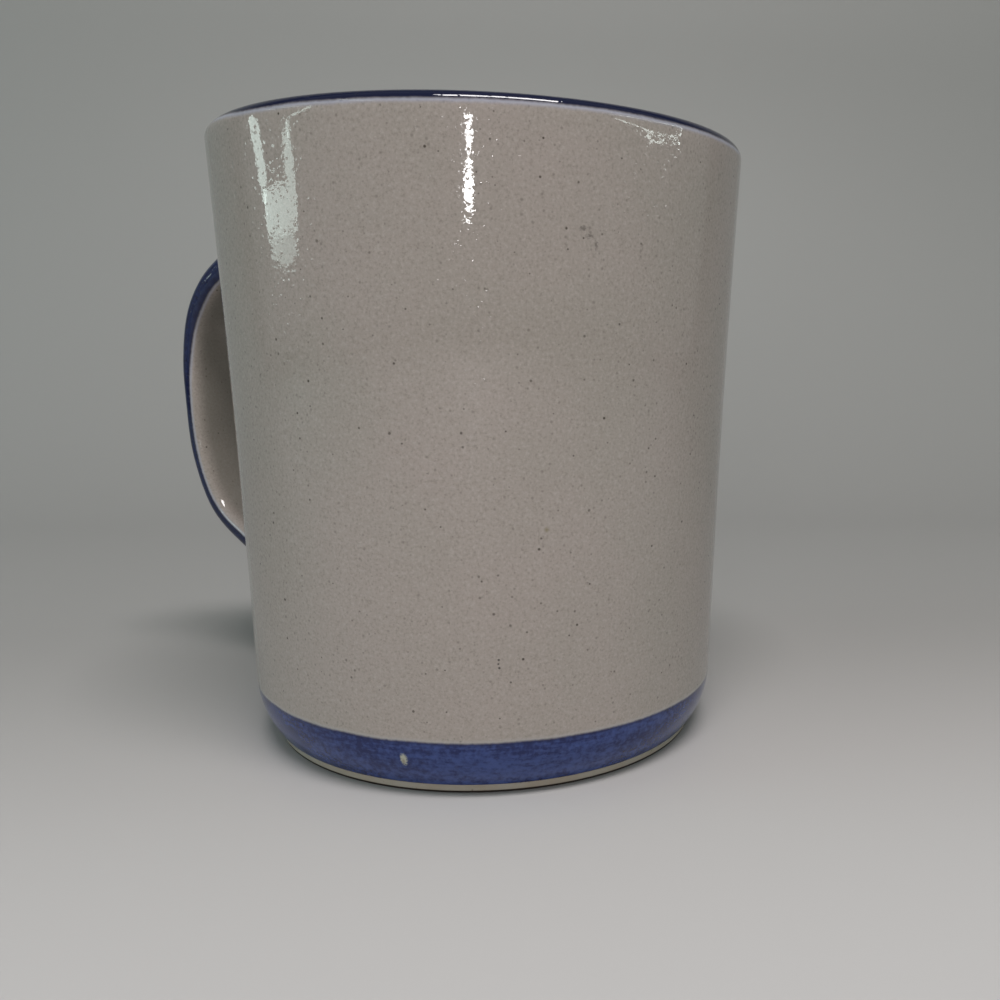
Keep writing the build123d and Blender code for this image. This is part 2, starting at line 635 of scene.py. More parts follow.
@dataclass
class MaterialGraph(Graph):
    """Graph of one material, with the place on the piece that wears it."""

    material: bpy.types.Material
    place: Socket

    @classmethod
    def start(cls, name: str) -> MaterialGraph:
        """Start a material.

        Args:
            name: Name of the material.

        Returns:
            Its graph, empty but for the place on the piece.
        """
        made = bpy.data.materials.new(name)
        made.use_nodes = True
        made.node_tree.nodes.clear()
        coordinates = made.node_tree.nodes.new("ShaderNodeTexCoord")
        return cls(made.node_tree, made, coordinates.outputs["Object"])

    def surface(self, colour: Socket, roughness: Source, normal: Socket | None = None) -> bpy.types.Node:
        """Finish the material with its shader.

        Args:
            colour: Base colour.
            roughness: Roughness.
            normal: Bumped normal, where the surface has one.

        Returns:
            The shader, for values that only one finish has.
        """
        shader = self.node("ShaderNodeBsdfPrincipled")
        self.feed(shader.inputs["Base Color"], colour)
        self.feed(shader.inputs["Roughness"], roughness)
        if normal is not None:
            self.feed(shader.inputs["Normal"], normal)
        output = self.node("ShaderNodeOutputMaterial")
        self.feed(output.inputs["Surface"], shader.outputs[0])
        return shader


def new_group(
    name: str, inputs: dict[str, float | None], outputs: Sequence[str]
) -> tuple[bpy.types.NodeTree, Graph, Sockets, Sockets]:
    """Start a shader node group.

    Args:
        name: Name of the group.
        inputs: Default of each number that it is given, or None for a vector.
        outputs: Names of the numbers that it puts out.

    Returns:
        The group, its graph, the sockets that it is given and the ones that it fills.
    """
    tree = bpy.data.node_groups.new(name, "ShaderNodeTree")
    for label, default in inputs.items():
        kind = "NodeSocketVector" if default is None else "NodeSocketFloat"
        socket = tree.interface.new_socket(label, in_out="INPUT", socket_type=kind)
        if default is not None:
            socket.default_value = default
    for label in outputs:
        tree.interface.new_socket(label, in_out="OUTPUT", socket_type="NodeSocketFloat")
    graph = Graph(tree)
    return tree, graph, graph.node("NodeGroupInput").outputs, graph.node("NodeGroupOutput").inputs


def scattered_specks() -> bpy.types.NodeTree:
    """Group that scatters round specks through the glaze and cuts them at the surface.

    Returns:
        The group, which gives the mask of the specks and a tint for each.
    """
    tree, graph, given, result = new_group(
        "scattered_specks",
        {"Place": None, "Spacing": 1.5 * MM, "Radius": 0.2 * MM, "Share": 0.3, "Softness": 0.5},
        ["Mask", "Tint"],
    )
    least = 0.45
    scale = graph.per(given["Spacing"])
    cells = graph.node("ShaderNodeTexVoronoi")
    graph.feed(cells.inputs["Vector"], given["Place"])
    graph.feed(cells.inputs["Scale"], scale)
    split = graph.fed(graph.node("ShaderNodeSeparateColor"), cells.outputs["Color"])
    chance, growth, tint = split.outputs
    size = graph.times(graph.times(given["Radius"], scale), graph.plus(least, growth))
    core = graph.times(size, graph.rest(given["Softness"]))
    inside = graph.rest(graph.step(cells.outputs["Distance"], core, size))
    chosen = graph.math("LESS_THAN", chance, given["Share"])
    graph.feed(result["Mask"], graph.times(inside, chosen))
    graph.feed(result["Tint"], tint)
    return tree


def orange_peel() -> bpy.types.NodeTree:
    """Group for the gentle unevenness of a fired glaze, as a height.

    Returns:
        The group, which gives the height in metres.
    """
    tree, graph, given, result = new_group(
        "orange_peel",
        {"Place": None, "Fine Size": 0.9 * MM, "Broad Size": 6 * MM,
         "Fine Depth": 0.008 * MM, "Broad Depth": 0.008 * MM},
        ["Height"],
    )
    fine = graph.times(graph.noise(given["Place"], given["Fine Size"]), given["Fine Depth"])
    broad = graph.noise(given["Place"], given["Broad Size"], detail=1.0)
    broad = graph.times(broad, given["Broad Depth"])
    graph.feed(result["Height"], graph.plus(fine, broad))
    return tree


def brushed_edge() -> bpy.types.NodeTree:
    """Group for the uneven, slightly bled edge of brushed cobalt.

    Returns:
        The group, which gives the paint, the halo outside it and the pool inside it.
    """
    tree, graph, given, result = new_group(
        "brushed_edge",
        {"Depth": 0.0, "Place": None, "Wander": 0.3 * MM, "Bleed": 0.25 * MM,
         "Halo Width": 0.75 * MM, "Pool Width": 0.8 * MM},
        ["Paint", "Halo", "Pool"],
    )
    slow_size, slow_share = 9 * MM, 1.4
    quick_size, quick_share = 0.7 * MM, 0.6
    slow = graph.times(graph.noise(given["Place"], slow_size, detail=1.0), slow_share)
    quick = graph.times(graph.noise(given["Place"], quick_size), quick_share)
    waver = graph.math("SUBTRACT", graph.plus(slow, quick), 1.0)
    depth = graph.plus(given["Depth"], graph.times(waver, given["Wander"]))
    paint = graph.step(depth, graph.times(given["Bleed"], -1.0), given["Bleed"])
    halo = graph.step(depth, graph.times(given["Halo Width"], -1.0), 0.0)
    pool = graph.rest(graph.step(depth, 0.0, given["Pool Width"]))
    graph.feed(result["Paint"], paint)
    graph.feed(result["Halo"], graph.times(halo, graph.rest(paint)))
    graph.feed(result["Pool"], graph.times(paint, pool))
    return tree


def brush_streaks() -> bpy.types.NodeTree:
    """Group for the hair lines and thin patches that a brush leaves in a wash.

    Returns:
        The group, which gives the density of the wash.
    """
    tree, graph, given, result = new_group(
        "brush_streaks",
        {"Brush Place": None, "Place": None, "Hair Size": 0.4 * MM, "Patch Size": 3 * MM,
         "Mottle Size": 0.8 * MM},
        ["Density"],
    )
    total = 0.0
    for place, size, share in (
        ("Brush Place", "Hair Size", 0.3),
        ("Brush Place", "Patch Size", 0.3),
        ("Place", "Mottle Size", 0.4),
    ):
        waves = graph.noise(given[place], given[size], detail=3.0, roughness=0.6)
        total = graph.plus(total, graph.times(waves, share))
    thin, full = 0.4, 0.6
    graph.feed(result["Density"], graph.step(total, thin, full))
    return tree


def single_mark() -> bpy.types.NodeTree:
    """Group for one soft, slightly ragged mark at a given place on the wall.

    Returns:
        The group, which gives the mask of the mark.
    """
    tree, graph, given, result = new_group(
        "single_mark",
        {"Place": None, "Centre": None, "Turn": 0.0, "Half Size": None,
         "Softness": 0.5, "Raggedness": 0.3},
        ["Mask"],
    )
    rag_size = 0.28 * MM
    level = graph.node("ShaderNodeVectorRotate", rotation_type="Z_AXIS")
    away = graph.vector_math("SUBTRACT", given["Place"], given["Centre"]).outputs[0]
    graph.feed(level.inputs["Vector"], away)
    graph.feed(level.inputs["Angle"], graph.times(given["Turn"], -1.0))
    shares = graph.vector_math("DIVIDE", level.outputs[0], given["Half Size"]).outputs[0]
    rough = graph.math("SUBTRACT", graph.noise(given["Place"], rag_size), 0.5)
    ragged = graph.times(rough, graph.times(given["Raggedness"], 2.0))
    reach = graph.plus(graph.vector_math("LENGTH", shares).outputs["Value"], ragged)
    graph.feed(result["Mask"], graph.rest(graph.step(reach, graph.rest(given["Softness"]), 1.0)))
    return tree


@dataclass(frozen=True)
class Effects:
    """The shader groups that the finishes share."""

    specks: bpy.types.NodeTree
    peel: bpy.types.NodeTree
    edge: bpy.types.NodeTree
    streaks: bpy.types.NodeTree
    mark: bpy.types.NodeTree

    @classmethod
    def make(cls) -> Effects:
        """Build each group once."""
        return cls(scattered_specks(), orange_peel(), brushed_edge(), brush_streaks(), single_mark())


Colour = tuple[float, float, float, float]


def srgb(red: int, green: int, blue: int) -> Colour:
    """Linear colour of an 8-bit display colour.

    Args:
        red: Red, from 0 to 255.
        green: Green, from 0 to 255.
        blue: Blue, from 0 to 255.

    Returns:
        The colour, fully opaque.
    """

    def linear(value: int) -> float:
        """Linear share of one 8-bit channel."""
        share = value / 255
        return share / 12.92 if share <= 0.04045 else ((share + 0.055) / 1.055) ** 2.4

    return (linear(red), linear(green), linear(blue), 1.0)


# ------------------------------------------------------------------ finishes
@dataclass(frozen=True)
class Specks:
    """How one kind of speck is scattered through the glaze or the clay."""

    spacing: float
    radius: float
    share: float
    softness: float

    def scattered(self, graph: MaterialGraph, tree: bpy.types.NodeTree) -> Sockets:
        """Mask and tint of this kind of speck, from the shared group.

        Args:
            graph: Graph of the material.
            tree: The shared group for specks.

        Returns:
            The outputs of the group.
        """
        return graph.group(
            tree, Place=graph.place, Spacing=self.spacing, Radius=self.radius,
            Share=self.share, Softness=self.softness,
        )


@dataclass(frozen=True)
class Mark:
    """One mark of the firing or of use on the outside of the wall."""

    azimuth: float
    height: float
    width: float
    tall: float
    softness: float = 0.6
    raggedness: float = 0.3
    through: float = 1.5 * MM

    def mask(self, graph: MaterialGraph, tree: bpy.types.NodeTree, form: CupForm) -> Socket:
        """Mask of the mark, from the shared group.

        Args:
            graph: Graph of the material.
            tree: The shared group for one mark.
            form: Form of the cup that carries the mark.

        Returns:
            Socket that is 1 in the middle of the mark and 0 away from it.
        """
        turn = math.radians(self.azimuth)
        radius = form.wall_radius(self.height)
        made = graph.group(
            tree,
            Place=graph.place,
            Centre=(radius * math.cos(turn), radius * math.sin(turn), self.height),
            Turn=turn,
            Half_Size=(self.through, self.width, self.tall),
            Softness=self.softness,
            Raggedness=self.raggedness,
        )
        return made["Mask"]


@dataclass(frozen=True)
class Stain:
    """Marks of one colour, and the share of that colour in their middle."""

    colour: Colour
    share: float
    marks: tuple[Mark, ...]


@dataclass(frozen=True)
class FiringMarks:
    """The marks that make this cup one particular cup."""

    scuff: Stain = Stain(
        srgb(100, 93, 88),
        0.75,
        (
            Mark(147.0, 79.4 * MM, 0.75 * MM, 0.45 * MM, 0.9, 1.3),
            Mark(148.4, 78.5 * MM, 0.8 * MM, 0.4 * MM, 0.9, 1.3),
            Mark(149.7, 77.4 * MM, 0.4 * MM, 0.8 * MM, 0.9, 1.3),
        ),
    )
    pock: Stain = Stain(
        srgb(74, 69, 66),
        1.0,
        (
            Mark(130.9, 21.7 * MM, 0.24 * MM, 0.22 * MM),
            Mark(130.8, 21.1 * MM, 0.20 * MM, 0.18 * MM),
            Mark(131.0, 20.5 * MM, 0.24 * MM, 0.24 * MM),
        ),
    )
    rust: Stain = Stain(srgb(122, 113, 90), 0.8, (Mark(140.6, 40.0 * MM, 0.5 * MM, 0.55 * MM, 0.95),))
    chip: Stain = Stain(srgb(168, 168, 152), 1.0, (Mark(110.4, 6.1 * MM, 0.72 * MM, 1.4 * MM, 0.45, 0.4),))
    core: Stain = Stain(srgb(132, 118, 98), 1.0, (Mark(110.3, 5.8 * MM, 0.4 * MM, 0.8 * MM, 0.8, 0.5),))
    pits: tuple[Mark, ...] = (
        Mark(75.0, 87.7 * MM, 0.55 * MM, 1.0 * MM, 0.9, 0.35),
        Mark(75.0, 83.9 * MM, 0.45 * MM, 0.7 * MM, 0.9, 0.35),
        Mark(118.0, 90.3 * MM, 0.35 * MM, 0.35 * MM, 0.9, 0.4),
    )
    pit_depth: float = 0.05 * MM


@dataclass(frozen=True)
class GlazeFinish:
    """Glossy beige-grey glaze over stoneware, with cobalt where it was brushed."""

    effects: Effects
    form: CupForm
    marks: FiringMarks = FiringMarks()
    body: Colour = srgb(150, 141, 135)
    body_cool: Colour = srgb(144, 138, 130)
    body_warm: Colour = srgb(156, 144, 139)
    body_share: float = 0.55
    cloud_size: float = 26 * MM
    cloud_edges: Point2 = (0.3, 0.7)
    grain_size: float = 0.42 * MM
    grain_dark: Colour = srgb(132, 124, 117)
    grain_dark_full: float = 0.72
    grain_dark_share: float = 0.7
    grain_pale: Colour = srgb(164, 156, 150)
    grain_pale_full: float = 0.28
    grain_pale_share: float = 0.6
    # Colour of the painted shade on the strap's inner face.
    thin: Colour = srgb(100, 98, 90)
    iron: Specks = Specks(1.45 * MM, 0.19 * MM, 0.55, 0.55)
    iron_colour: Colour = srgb(66, 58, 51)
    iron_least: float = 0.4
    faint: Specks = Specks(0.9 * MM, 0.22 * MM, 0.4, 0.85)
    faint_colour: Colour = srgb(110, 102, 95)
    faint_share: float = 0.6
    sand: Specks = Specks(0.62 * MM, 0.25 * MM, 0.75, 1.0)
    sand_least: float = 0.004 * MM
    sand_rise: float = 0.026 * MM
    halo_share: float = 0.8
    halo_pale: Colour = srgb(160, 156, 153)
    halo_blue: Colour = srgb(154, 157, 175)
    cobalt: Colour = srgb(19, 31, 79)
    cobalt_thin: Colour = srgb(53, 70, 124)
    cobalt_deep: Colour = srgb(15, 21, 56)
    cobalt_loaded: Colour = srgb(8, 13, 44)
    pool_share: float = 0.75
    roughness: float = 0.02
    smudge: float = 0.02
    smudge_size: float = 4 * MM
    refraction: float = 1.47

    def material(self, slot: Slot) -> bpy.types.Material:
        """Material of this finish for one of the record's slots.

        Args:
            slot: The slot whose name the material takes.

        Returns:
            The material.
        """
        graph = MaterialGraph.start(slot.value)
        marks = self.marks
        colour = self.stained(graph, self.body_colour(graph), (marks.scuff, marks.pock, marks.rust))
        # Painted shade: darkens the strap's inner face by the share in its vertex attribute.
        colour = graph.blend(graph.attribute(PAINTED_INNER_SHADE), colour, self.thin)
        colour = self.stained(graph, self.painted(graph, colour), (marks.chip, marks.core))
        smudge = graph.times(graph.noise(graph.place, self.smudge_size, detail=3.0), self.smudge)
        shader = graph.surface(colour, graph.plus(self.roughness, smudge), self.relief(graph))
        shader.inputs["IOR"].default_value = self.refraction
        return graph.material

    def body_colour(self, graph: MaterialGraph) -> Socket:
        """Colour of the bare glaze.

        Args:
            graph: Graph of the material.

        Returns:
            The colour, with its clouds, its grain and its specks.
        """
        clouds = graph.step(graph.noise(graph.place, self.cloud_size, detail=3.0), *self.cloud_edges)
        colour = graph.blend(clouds, self.body_cool, self.body_warm)
        colour = graph.blend(self.body_share, colour, self.body)
        grain = graph.noise(graph.place, self.grain_size, roughness=0.7)
        for tone, full, share in (
            (self.grain_dark, self.grain_dark_full, self.grain_dark_share),
            (self.grain_pale, self.grain_pale_full, self.grain_pale_share),
        ):
            colour = graph.blend(graph.times(graph.step(grain, 0.5, full), share), colour, tone)
        faint = self.faint.scattered(graph, self.effects.specks)
        colour = graph.blend(graph.times(faint["Mask"], self.faint_share), colour, self.faint_colour)
        iron = self.iron.scattered(graph, self.effects.specks)
        strength = graph.plus(self.iron_least, graph.times(iron["Tint"], 1 - self.iron_least))
        return graph.blend(graph.times(iron["Mask"], strength), colour, self.iron_colour)

    def stained(self, graph: MaterialGraph, colour: Socket, stains: Sequence[Stain]) -> Socket:
        """Colour of the glaze with marks on it.

        Args:
            graph: Graph of the material.
            colour: Colour round the marks.
            stains: The marks, each kind over the one before it.

        Returns:
            The colour with the marks.
        """
        for stain in stains:
            for mark in stain.marks:
                share = graph.times(mark.mask(graph, self.effects.mark, self.form), stain.share)
                colour = graph.blend(share, colour, stain.colour)
        return colour

    def painted(self, graph: MaterialGraph, colour: Socket) -> Socket:
        """Cobalt brushed over the body colour.

        Args:
            graph: Graph of the material.
            colour: Colour under the paint.

        Returns:
            The painted colour.
        """
        brush = graph.attribute(BRUSH_PLACE, "Vector")
        load = graph.attribute(PAINT_LOAD)
        edge = graph.group(self.effects.edge, Depth=graph.attribute(PAINT_DEPTH), Place=graph.place)
        streaks = graph.group(self.effects.streaks, Brush_Place=brush, Place=graph.place)
        wash = graph.blend(streaks["Density"], self.cobalt_thin, self.cobalt)
        wash = graph.blend(graph.times(edge["Pool"], self.pool_share), wash, self.cobalt_deep)
        wash = graph.blend(load, wash, self.cobalt_loaded)
        halo = graph.blend(load, self.halo_pale, self.halo_blue)
        colour = graph.blend(graph.times(edge["Halo"], self.halo_share), colour, halo)
        return graph.blend(edge["Paint"], colour, wash)

    def relief(self, graph: MaterialGraph) -> Socket:
        """Relief of the fired surface.

        Args:
            graph: Graph of the material.

        Returns:
            Normal with orange peel, sand that stands up under the glaze, and a few pits.
        """
        sand = self.sand.scattered(graph, self.effects.specks)
        tall = graph.times(graph.math("POWER", sand["Tint"], 3.0), self.sand_rise)
        grains = graph.times(sand["Mask"], graph.plus(self.sand_least, tall))
        height = graph.plus(graph.group(self.effects.peel, Place=graph.place)["Height"], grains)
        for mark in self.marks.pits:
            pit = mark.mask(graph, self.effects.mark, self.form)
            height = graph.plus(height, graph.times(pit, -self.marks.pit_depth))
        return graph.bump(height)


@dataclass(frozen=True)
class BareClayFinish:
    """Matt fired stoneware, tan and a little gritty, with a painted contact shadow along its lowest edge.
    """

    effects: Effects
    clay: Colour = srgb(162, 155, 144)
    toasted: Colour = srgb(152, 137, 119)
    toast_size: float = 7 * MM
    toast_edges: Point2 = (0.35, 0.7)
    toast_share: float = 0.6
    grit: Specks = Specks(0.9 * MM, 0.16 * MM, 0.5, 0.5)
    grit_colour: Colour = srgb(104, 92, 80)
    grit_share: float = 0.6
    # Colour of the painted contact shadow at the foot's lowest edge.
    painted_contact_shade: Colour = srgb(34, 24, 19)
    contact_shade_height: float = 0.52 * MM
    contact_shade_full: float = 0.8
    tooth_size: float = 0.3 * MM
    tooth_depth: float = 0.05 * MM
    roughness: float = 0.85

    def material(self) -> bpy.types.Material:
        """Material of the bare clay.

        Returns:
            The material.
        """
        graph = MaterialGraph.start(Slot.STONEWARE.value)
        toast = graph.step(graph.noise(graph.place, self.toast_size, detail=4.0), *self.toast_edges)
        colour = graph.blend(graph.times(toast, self.toast_share), self.clay, self.toasted)
        grit = self.grit.scattered(graph, self.effects.specks)
        colour = graph.blend(graph.times(grit["Mask"], self.grit_share), colour, self.grit_colour)
        # Painted contact shadow: the colour turns dark brown in the lowest half millimetre, where the foot
        # meets the floor.
        clear = graph.step(graph.rise(graph.place), self.contact_shade_height * self.contact_shade_full, self.contact_shade_height)
        colour = graph.blend(clear, self.painted_contact_shade, colour)
        tooth = graph.noise(graph.place, self.tooth_size, detail=4.0, roughness=0.7)
        graph.surface(colour, self.roughness, graph.bump(graph.times(tooth, self.tooth_depth)))
        return graph.material


@dataclass(frozen=True)
class Finishes:
    """Every material of the mug, by the record's slot."""

    materials: dict[Slot, bpy.types.Material]

    @classmethod
    def make(cls, form: CupForm) -> Finishes:
        """Build the shared groups and the materials for a cup.

        Args:
            form: Form of the cup.

        Returns:
            The finishes.
        """
        effects = Effects.make()
        glaze = GlazeFinish(effects, form)
        materials = {slot: glaze.material(slot) for slot in (Slot.SPECKLED, Slot.COBALT)}
        materials[Slot.STONEWARE] = BareClayFinish(effects).material()
        return cls(materials)

    def coat(self, piece: bpy.types.Object, slot: Slot) -> None:
        """Give a piece one of the finishes in place of what it has."""
        piece.data.materials.clear()
        piece.data.materials.append(self.materials[slot])

    def dress(self, piece: bpy.types.Object, slot: Slot, node: str) -> None:
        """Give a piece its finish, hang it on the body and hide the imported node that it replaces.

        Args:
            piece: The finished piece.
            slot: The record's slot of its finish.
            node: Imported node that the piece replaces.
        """
        self.coat(piece, slot)
        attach(piece, BODY)
        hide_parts(node)
        LOG.info("%s: %d faces", piece.name, len(piece.data.polygons))


@dataclass(frozen=True)
class Coat:
    """A coat on a whole surface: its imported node, its number there and its slot."""

    node: str
    number: int
    slot: Slot

    def cut(self, skin: BMesh, thickness: float, finishes: Finishes) -> None:
        """Cut the coat from its surface, give it its thickness and dress it.

        Args:
            skin: Whole surface, whose faces carry coat numbers.
            thickness: Thickness of the coat.
            finishes: The mug's materials.
        """
        sheet = skin.copy()
        layer = sheet.faces.layers.int[COAT_NUMBER]
        others = [face for face in sheet.faces if face[layer] != self.number]
        bmesh.ops.delete(sheet, geom=others, context="FACES")
        sheet.faces.layers.int.remove(layer)
        bmesh.ops.solidify(sheet, geom=sheet.faces[:], thickness=thickness)
        finishes.dress(finished_object(sheet, f"{self.node}_coat"), self.slot, self.node)


# ------------------------------------------------------------------ the cup
class CupCoat(Enum):
    """Coats of glaze on the cup."""

    FOOT_BAND = Coat("foot_band", 1, Slot.COBALT)
    OUTER = Coat("outer_glaze", 2, Slot.SPECKLED)
    RIM_BAND = Coat("rim_band", 3, Slot.COBALT)
    INNER = Coat("inner_glaze", 4, Slot.SPECKLED)


@dataclass
class Cup:
    """The thrown cup: its clay, and the coats of glaze cut from one surface."""

    form: CupForm
    drift: ThrownDrift
    finishes: Finishes
    turn_steps: int = 288
    ring_gap: float = 1.1 * MM
    corner_steps: int = 40
    lip_steps: int = 10
    bead_steps: int = 6
    inside_steps: tuple[int, int, int] = (50, 14, 16)
    clay_steps: tuple[int, int, int] = (20, 60, 12)
    tuck_in: float = 0.05 * MM
    tuck_down: float = 0.02 * MM
    foot_bead: float = 0.35 * MM
    bead_start: float = 0.02 * MM
    bead_bulge: Point2 = (0.8, 0.22)
    brush_stretch: float = 7.0
    rim_load: float = 1.0
    foot_load: float = 0.0
    foot_pool: float = 0.35 * MM
    thin_rim_azimuth: float = math.radians(60)
    thin_rim_spread: float = math.radians(26)
    thin_rim_rise: float = 0.9 * MM
    base_gap: float = 0.05 * MM
    base_curl: tuple[Point2, ...] = ((1.2 * MM, 0.0), (0.5 * MM, 0.03 * MM), (0.0, 0.2 * MM))
    clay_gap: float = 0.03 * MM
    foot_chamfer: float = 0.4 * MM
    foot_round: float = 0.12 * MM
    floor_zone: float = 0.5 * MM
    inset_down: float = 0.9
    core_inset: float = 1.5 * MM
    core_height: float = 4 * MM
    core_depth: float = 2 * MM

    def build(self) -> None:
        """Build every piece of the cup."""
        skin = self.skin()
        for coat in CupCoat:
            coat.value.cut(skin, self.form.coat_thickness, self.finishes)
        skin.free()
        self.base_glaze()
        self.clay_body()

    def profile(self) -> list[Point2]:
        """Profile of the whole glazed surface.

        Returns:
            Points up the outside, over the lip and down to the floor's centre, with
            one at each band's edge.
        """
        form = self.form
        corner = form.corner_arc(form.foot_radius + form.glaze)
        bead_top = form.bare_foot + self.foot_bead
        points = [(form.foot_radius - self.tuck_in, form.bare_foot - self.tuck_down)]
        points += self.foot_bead_points(corner)
        points += [point for point in reversed(corner.points(self.corner_steps)) if point[1] > bead_top]
        rings = round((form.lip_height - form.wall_foot_height) / self.ring_gap)
        points += form.wall_arc().points(rings)[1:]
        lip_top = (form.lip_centre, form.height)
        inner_lip = (form.lip_centre - form.lip_radius, form.lip_height)
        for start, end in ((points[-1], lip_top), (lip_top, inner_lip)):
            points += Arc.about((form.lip_centre, form.lip_height), start, end).points(self.lip_steps)[1:]
        points += self.inside_points(inner_lip)
        return with_heights(points, [form.foot_band_top, form.rim_band_outside], [form.rim_band_inside])

    def foot_bead_points(self, corner: Arc) -> list[Point2]:
        """Rounded lower edge of the glaze, where it stops above the bare foot.

        Args:
            corner: Outside of the glaze under the wall.

        Returns:
            Points from the clay out to the corner.
        """
        form = self.form
        share, tread = 1.0, 0.005
        while corner.point(share)[1] < form.bare_foot + self.foot_bead:
            share -= tread
        out, up = self.bead_bulge
        start = (form.foot_radius + self.bead_start, form.bare_foot)
        middle = (form.foot_radius + form.glaze * out, form.bare_foot + self.foot_bead * up)
        return Arc.through(start, middle, corner.point(share)).points(self.bead_steps)

    def inside_points(self, inner_lip: Point2) -> list[Point2]:
        """Profile of the inside of the cup.

        Args:
            inner_lip: Inner edge of the lip.

        Returns:
            Points from below the lip's edge to the centre of the floor.
        """
        form = self.form
        wall_steps, corner_steps, floor_steps = self.inside_steps
        corner = (form.inner_foot_radius, form.floor_height)
        slope = math.atan2(inner_lip[0] - corner[0], inner_lip[1] - corner[1])
        half = (math.pi / 2 + slope) / 2
        cut = form.inner_corner_radius / math.tan(half)
        wall_end = (corner[0] + cut * math.sin(slope), corner[1] + cut * math.cos(slope))
        floor_end = (corner[0] - cut, corner[1])
        centre = (floor_end[0], corner[1] + form.inner_corner_radius)
        points = spread(inner_lip, wall_end, wall_steps)[1:]
        points += Arc.about(centre, wall_end, floor_end).points(corner_steps)[1:]
        points += spread(floor_end, (0.0, corner[1]), floor_steps)[1:]
        return points

    def coat_of(self, place: Vector) -> CupCoat:
        """Coat that covers a point of the true form.

        Args:
            place: The point.

        Returns:
            The coat.
        """
        form = self.form
        outside = form.is_outside(place)
        if place.z > (form.rim_band_outside if outside else form.rim_band_inside):
            return CupCoat.RIM_BAND
        if not outside:
            return CupCoat.INNER
        return CupCoat.FOOT_BAND if place.z < form.foot_band_top else CupCoat.OUTER

    def paint_depth(self, place: Vector) -> float:
        """How far a point lies inside the painted bands.

        Args:
            place: Point of the true form.

        Returns:
            Distance to the nearest edge of a band, less than 0 outside it.
        """
        form = self.form
        if not form.is_outside(place):
            return place.z - form.rim_band_inside
        if place.z < form.height / 2:
            return min(form.foot_band_top - place.z, place.z - form.bare_foot + self.foot_pool)
        away = math.remainder(math.atan2(place.y, place.x) - self.thin_rim_azimuth, math.tau)
        thin = self.thin_rim_rise * (1 - ease(0.0, self.thin_rim_spread, abs(away)))
        return place.z - form.rim_band_outside - thin

    def skin(self) -> BMesh:
        """The whole glazed surface, worked by hand, with its coats numbered.

        Returns:
            The surface, open at the foot.
        """
        bm = turned(self.profile(), self.turn_steps)
        number = bm.faces.layers.int.new(COAT_NUMBER)
        for face in bm.faces:
            face[number] = self.coat_of(face.calc_center_median()).value.number
        depth = bm.verts.layers.float.new(PAINT_DEPTH)
        brush = bm.verts.layers.float_vector.new(BRUSH_PLACE)
        load = bm.verts.layers.float.new(PAINT_LOAD)
        for vert in bm.verts:
            vert[depth] = self.paint_depth(vert.co)
            vert[load] = self.rim_load if vert.co.z > self.form.height / 2 else self.foot_load
            along = vert.co / self.brush_stretch
            vert[brush] = (along.x, along.y, vert.co.z - math.hypot(vert.co.x, vert.co.y))
            vert.co = self.drift.strayed(vert.co, self.form.height)
        face_outwards(bm, self.within_clay)
        keep_normals(bm)
        return bm

    def within_clay(self, place: Vector) -> Vector:
        """Point in the middle of the wall or floor.

        Args:
            place: Point of the cup's surface.

        Returns:
            The point inside the clay next to it.
        """
        form = self.form
        radius = mix(form.foot_radius - self.core_inset, form.lip_centre, place.z / form.height)
        here = math.hypot(place.x, place.y)
        if here < form.inner_foot_radius - form.inner_corner_radius:
            return Vector((place.x, place.y, form.floor_height - self.core_depth))
        height = min(max(place.z, self.core_height), form.lip_height)
        return Vector((place.x * radius / here, place.y * radius / here, height))

    def base_glaze(self) -> None:
        """Glaze in the recess under the foot, drawn up a little at its edge."""
        form = self.form
        low, high = form.recess_depth, form.recess_depth + form.glaze
        edge = form.recess_radius - self.base_gap
        curl = [(edge - inward, low + rise) for inward, rise in self.base_curl]
        bm = turned([(0.0, low), (edge / 2, low), *curl, (edge, high), (0.0, high)], self.turn_steps)
        depth = bm.verts.layers.float.new(PAINT_DEPTH)
        for vert in bm.verts:
            vert[depth] = -form.height
        face_outwards(bm, lambda place: Vector((place.x, place.y, (low + high) / 2)))
        self.finishes.dress(finished_object(bm, "base_glaze_coat"), Slot.SPECKLED, "base_glaze")

    def clay_body(self) -> None:
        """The clay under the coats, bare only at the foot ring."""
        bm = turned(self.clay_profile(), self.turn_steps)
        for vert in bm.verts:
            vert.co = self.drift.strayed(vert.co, self.form.height)
        face_outwards(bm, self.within_clay)
        self.finishes.dress(finished_object(bm, "clay_cup"), Slot.STONEWARE, "clay_body")

    def clay_profile(self) -> list[Point2]:
        """Profile of the clay.

        Returns:
            Points from the recess over the foot ring, the wall and the lip to the floor.
        """
        form = self.form
        inset = form.glaze + self.clay_gap
        corner_steps, wall_steps, lip_steps = self.clay_steps
        recess = form.recess_depth + form.glaze
        edge = [(0.0, self.foot_chamfer), (self.foot_round, self.foot_round), (self.foot_chamfer, 0.0)]
        ring = [(0.0, recess), (form.recess_radius, recess)]
        ring += [(form.recess_radius + inward, height) for inward, height in edge]
        ring += [(form.foot_radius - inward, height) for inward, height in reversed(edge)]
        ring.append((form.foot_radius, form.bare_foot))
        bare_corner = form.corner_arc(form.foot_radius).points(corner_steps)
        corner = [(radius - self.clay_gap, height) for radius, height in reversed(bare_corner)][1:-1]
        wall = [(radius - inset, height) for radius, height in form.wall_arc().points(wall_steps)]
        lip = Arc((form.lip_centre, form.lip_height), form.lip_radius - inset, 0.0, math.pi)
        floor_edge = form.floor_height + self.floor_zone
        inside = [
            (radius + inset if height > floor_edge else radius, height - inset * self.inset_down)
            for radius, height in self.inside_points((form.lip_centre - form.lip_radius, form.lip_height))
        ]
        return ring + corner + wall + lip.points(lip_steps)[1:] + inside


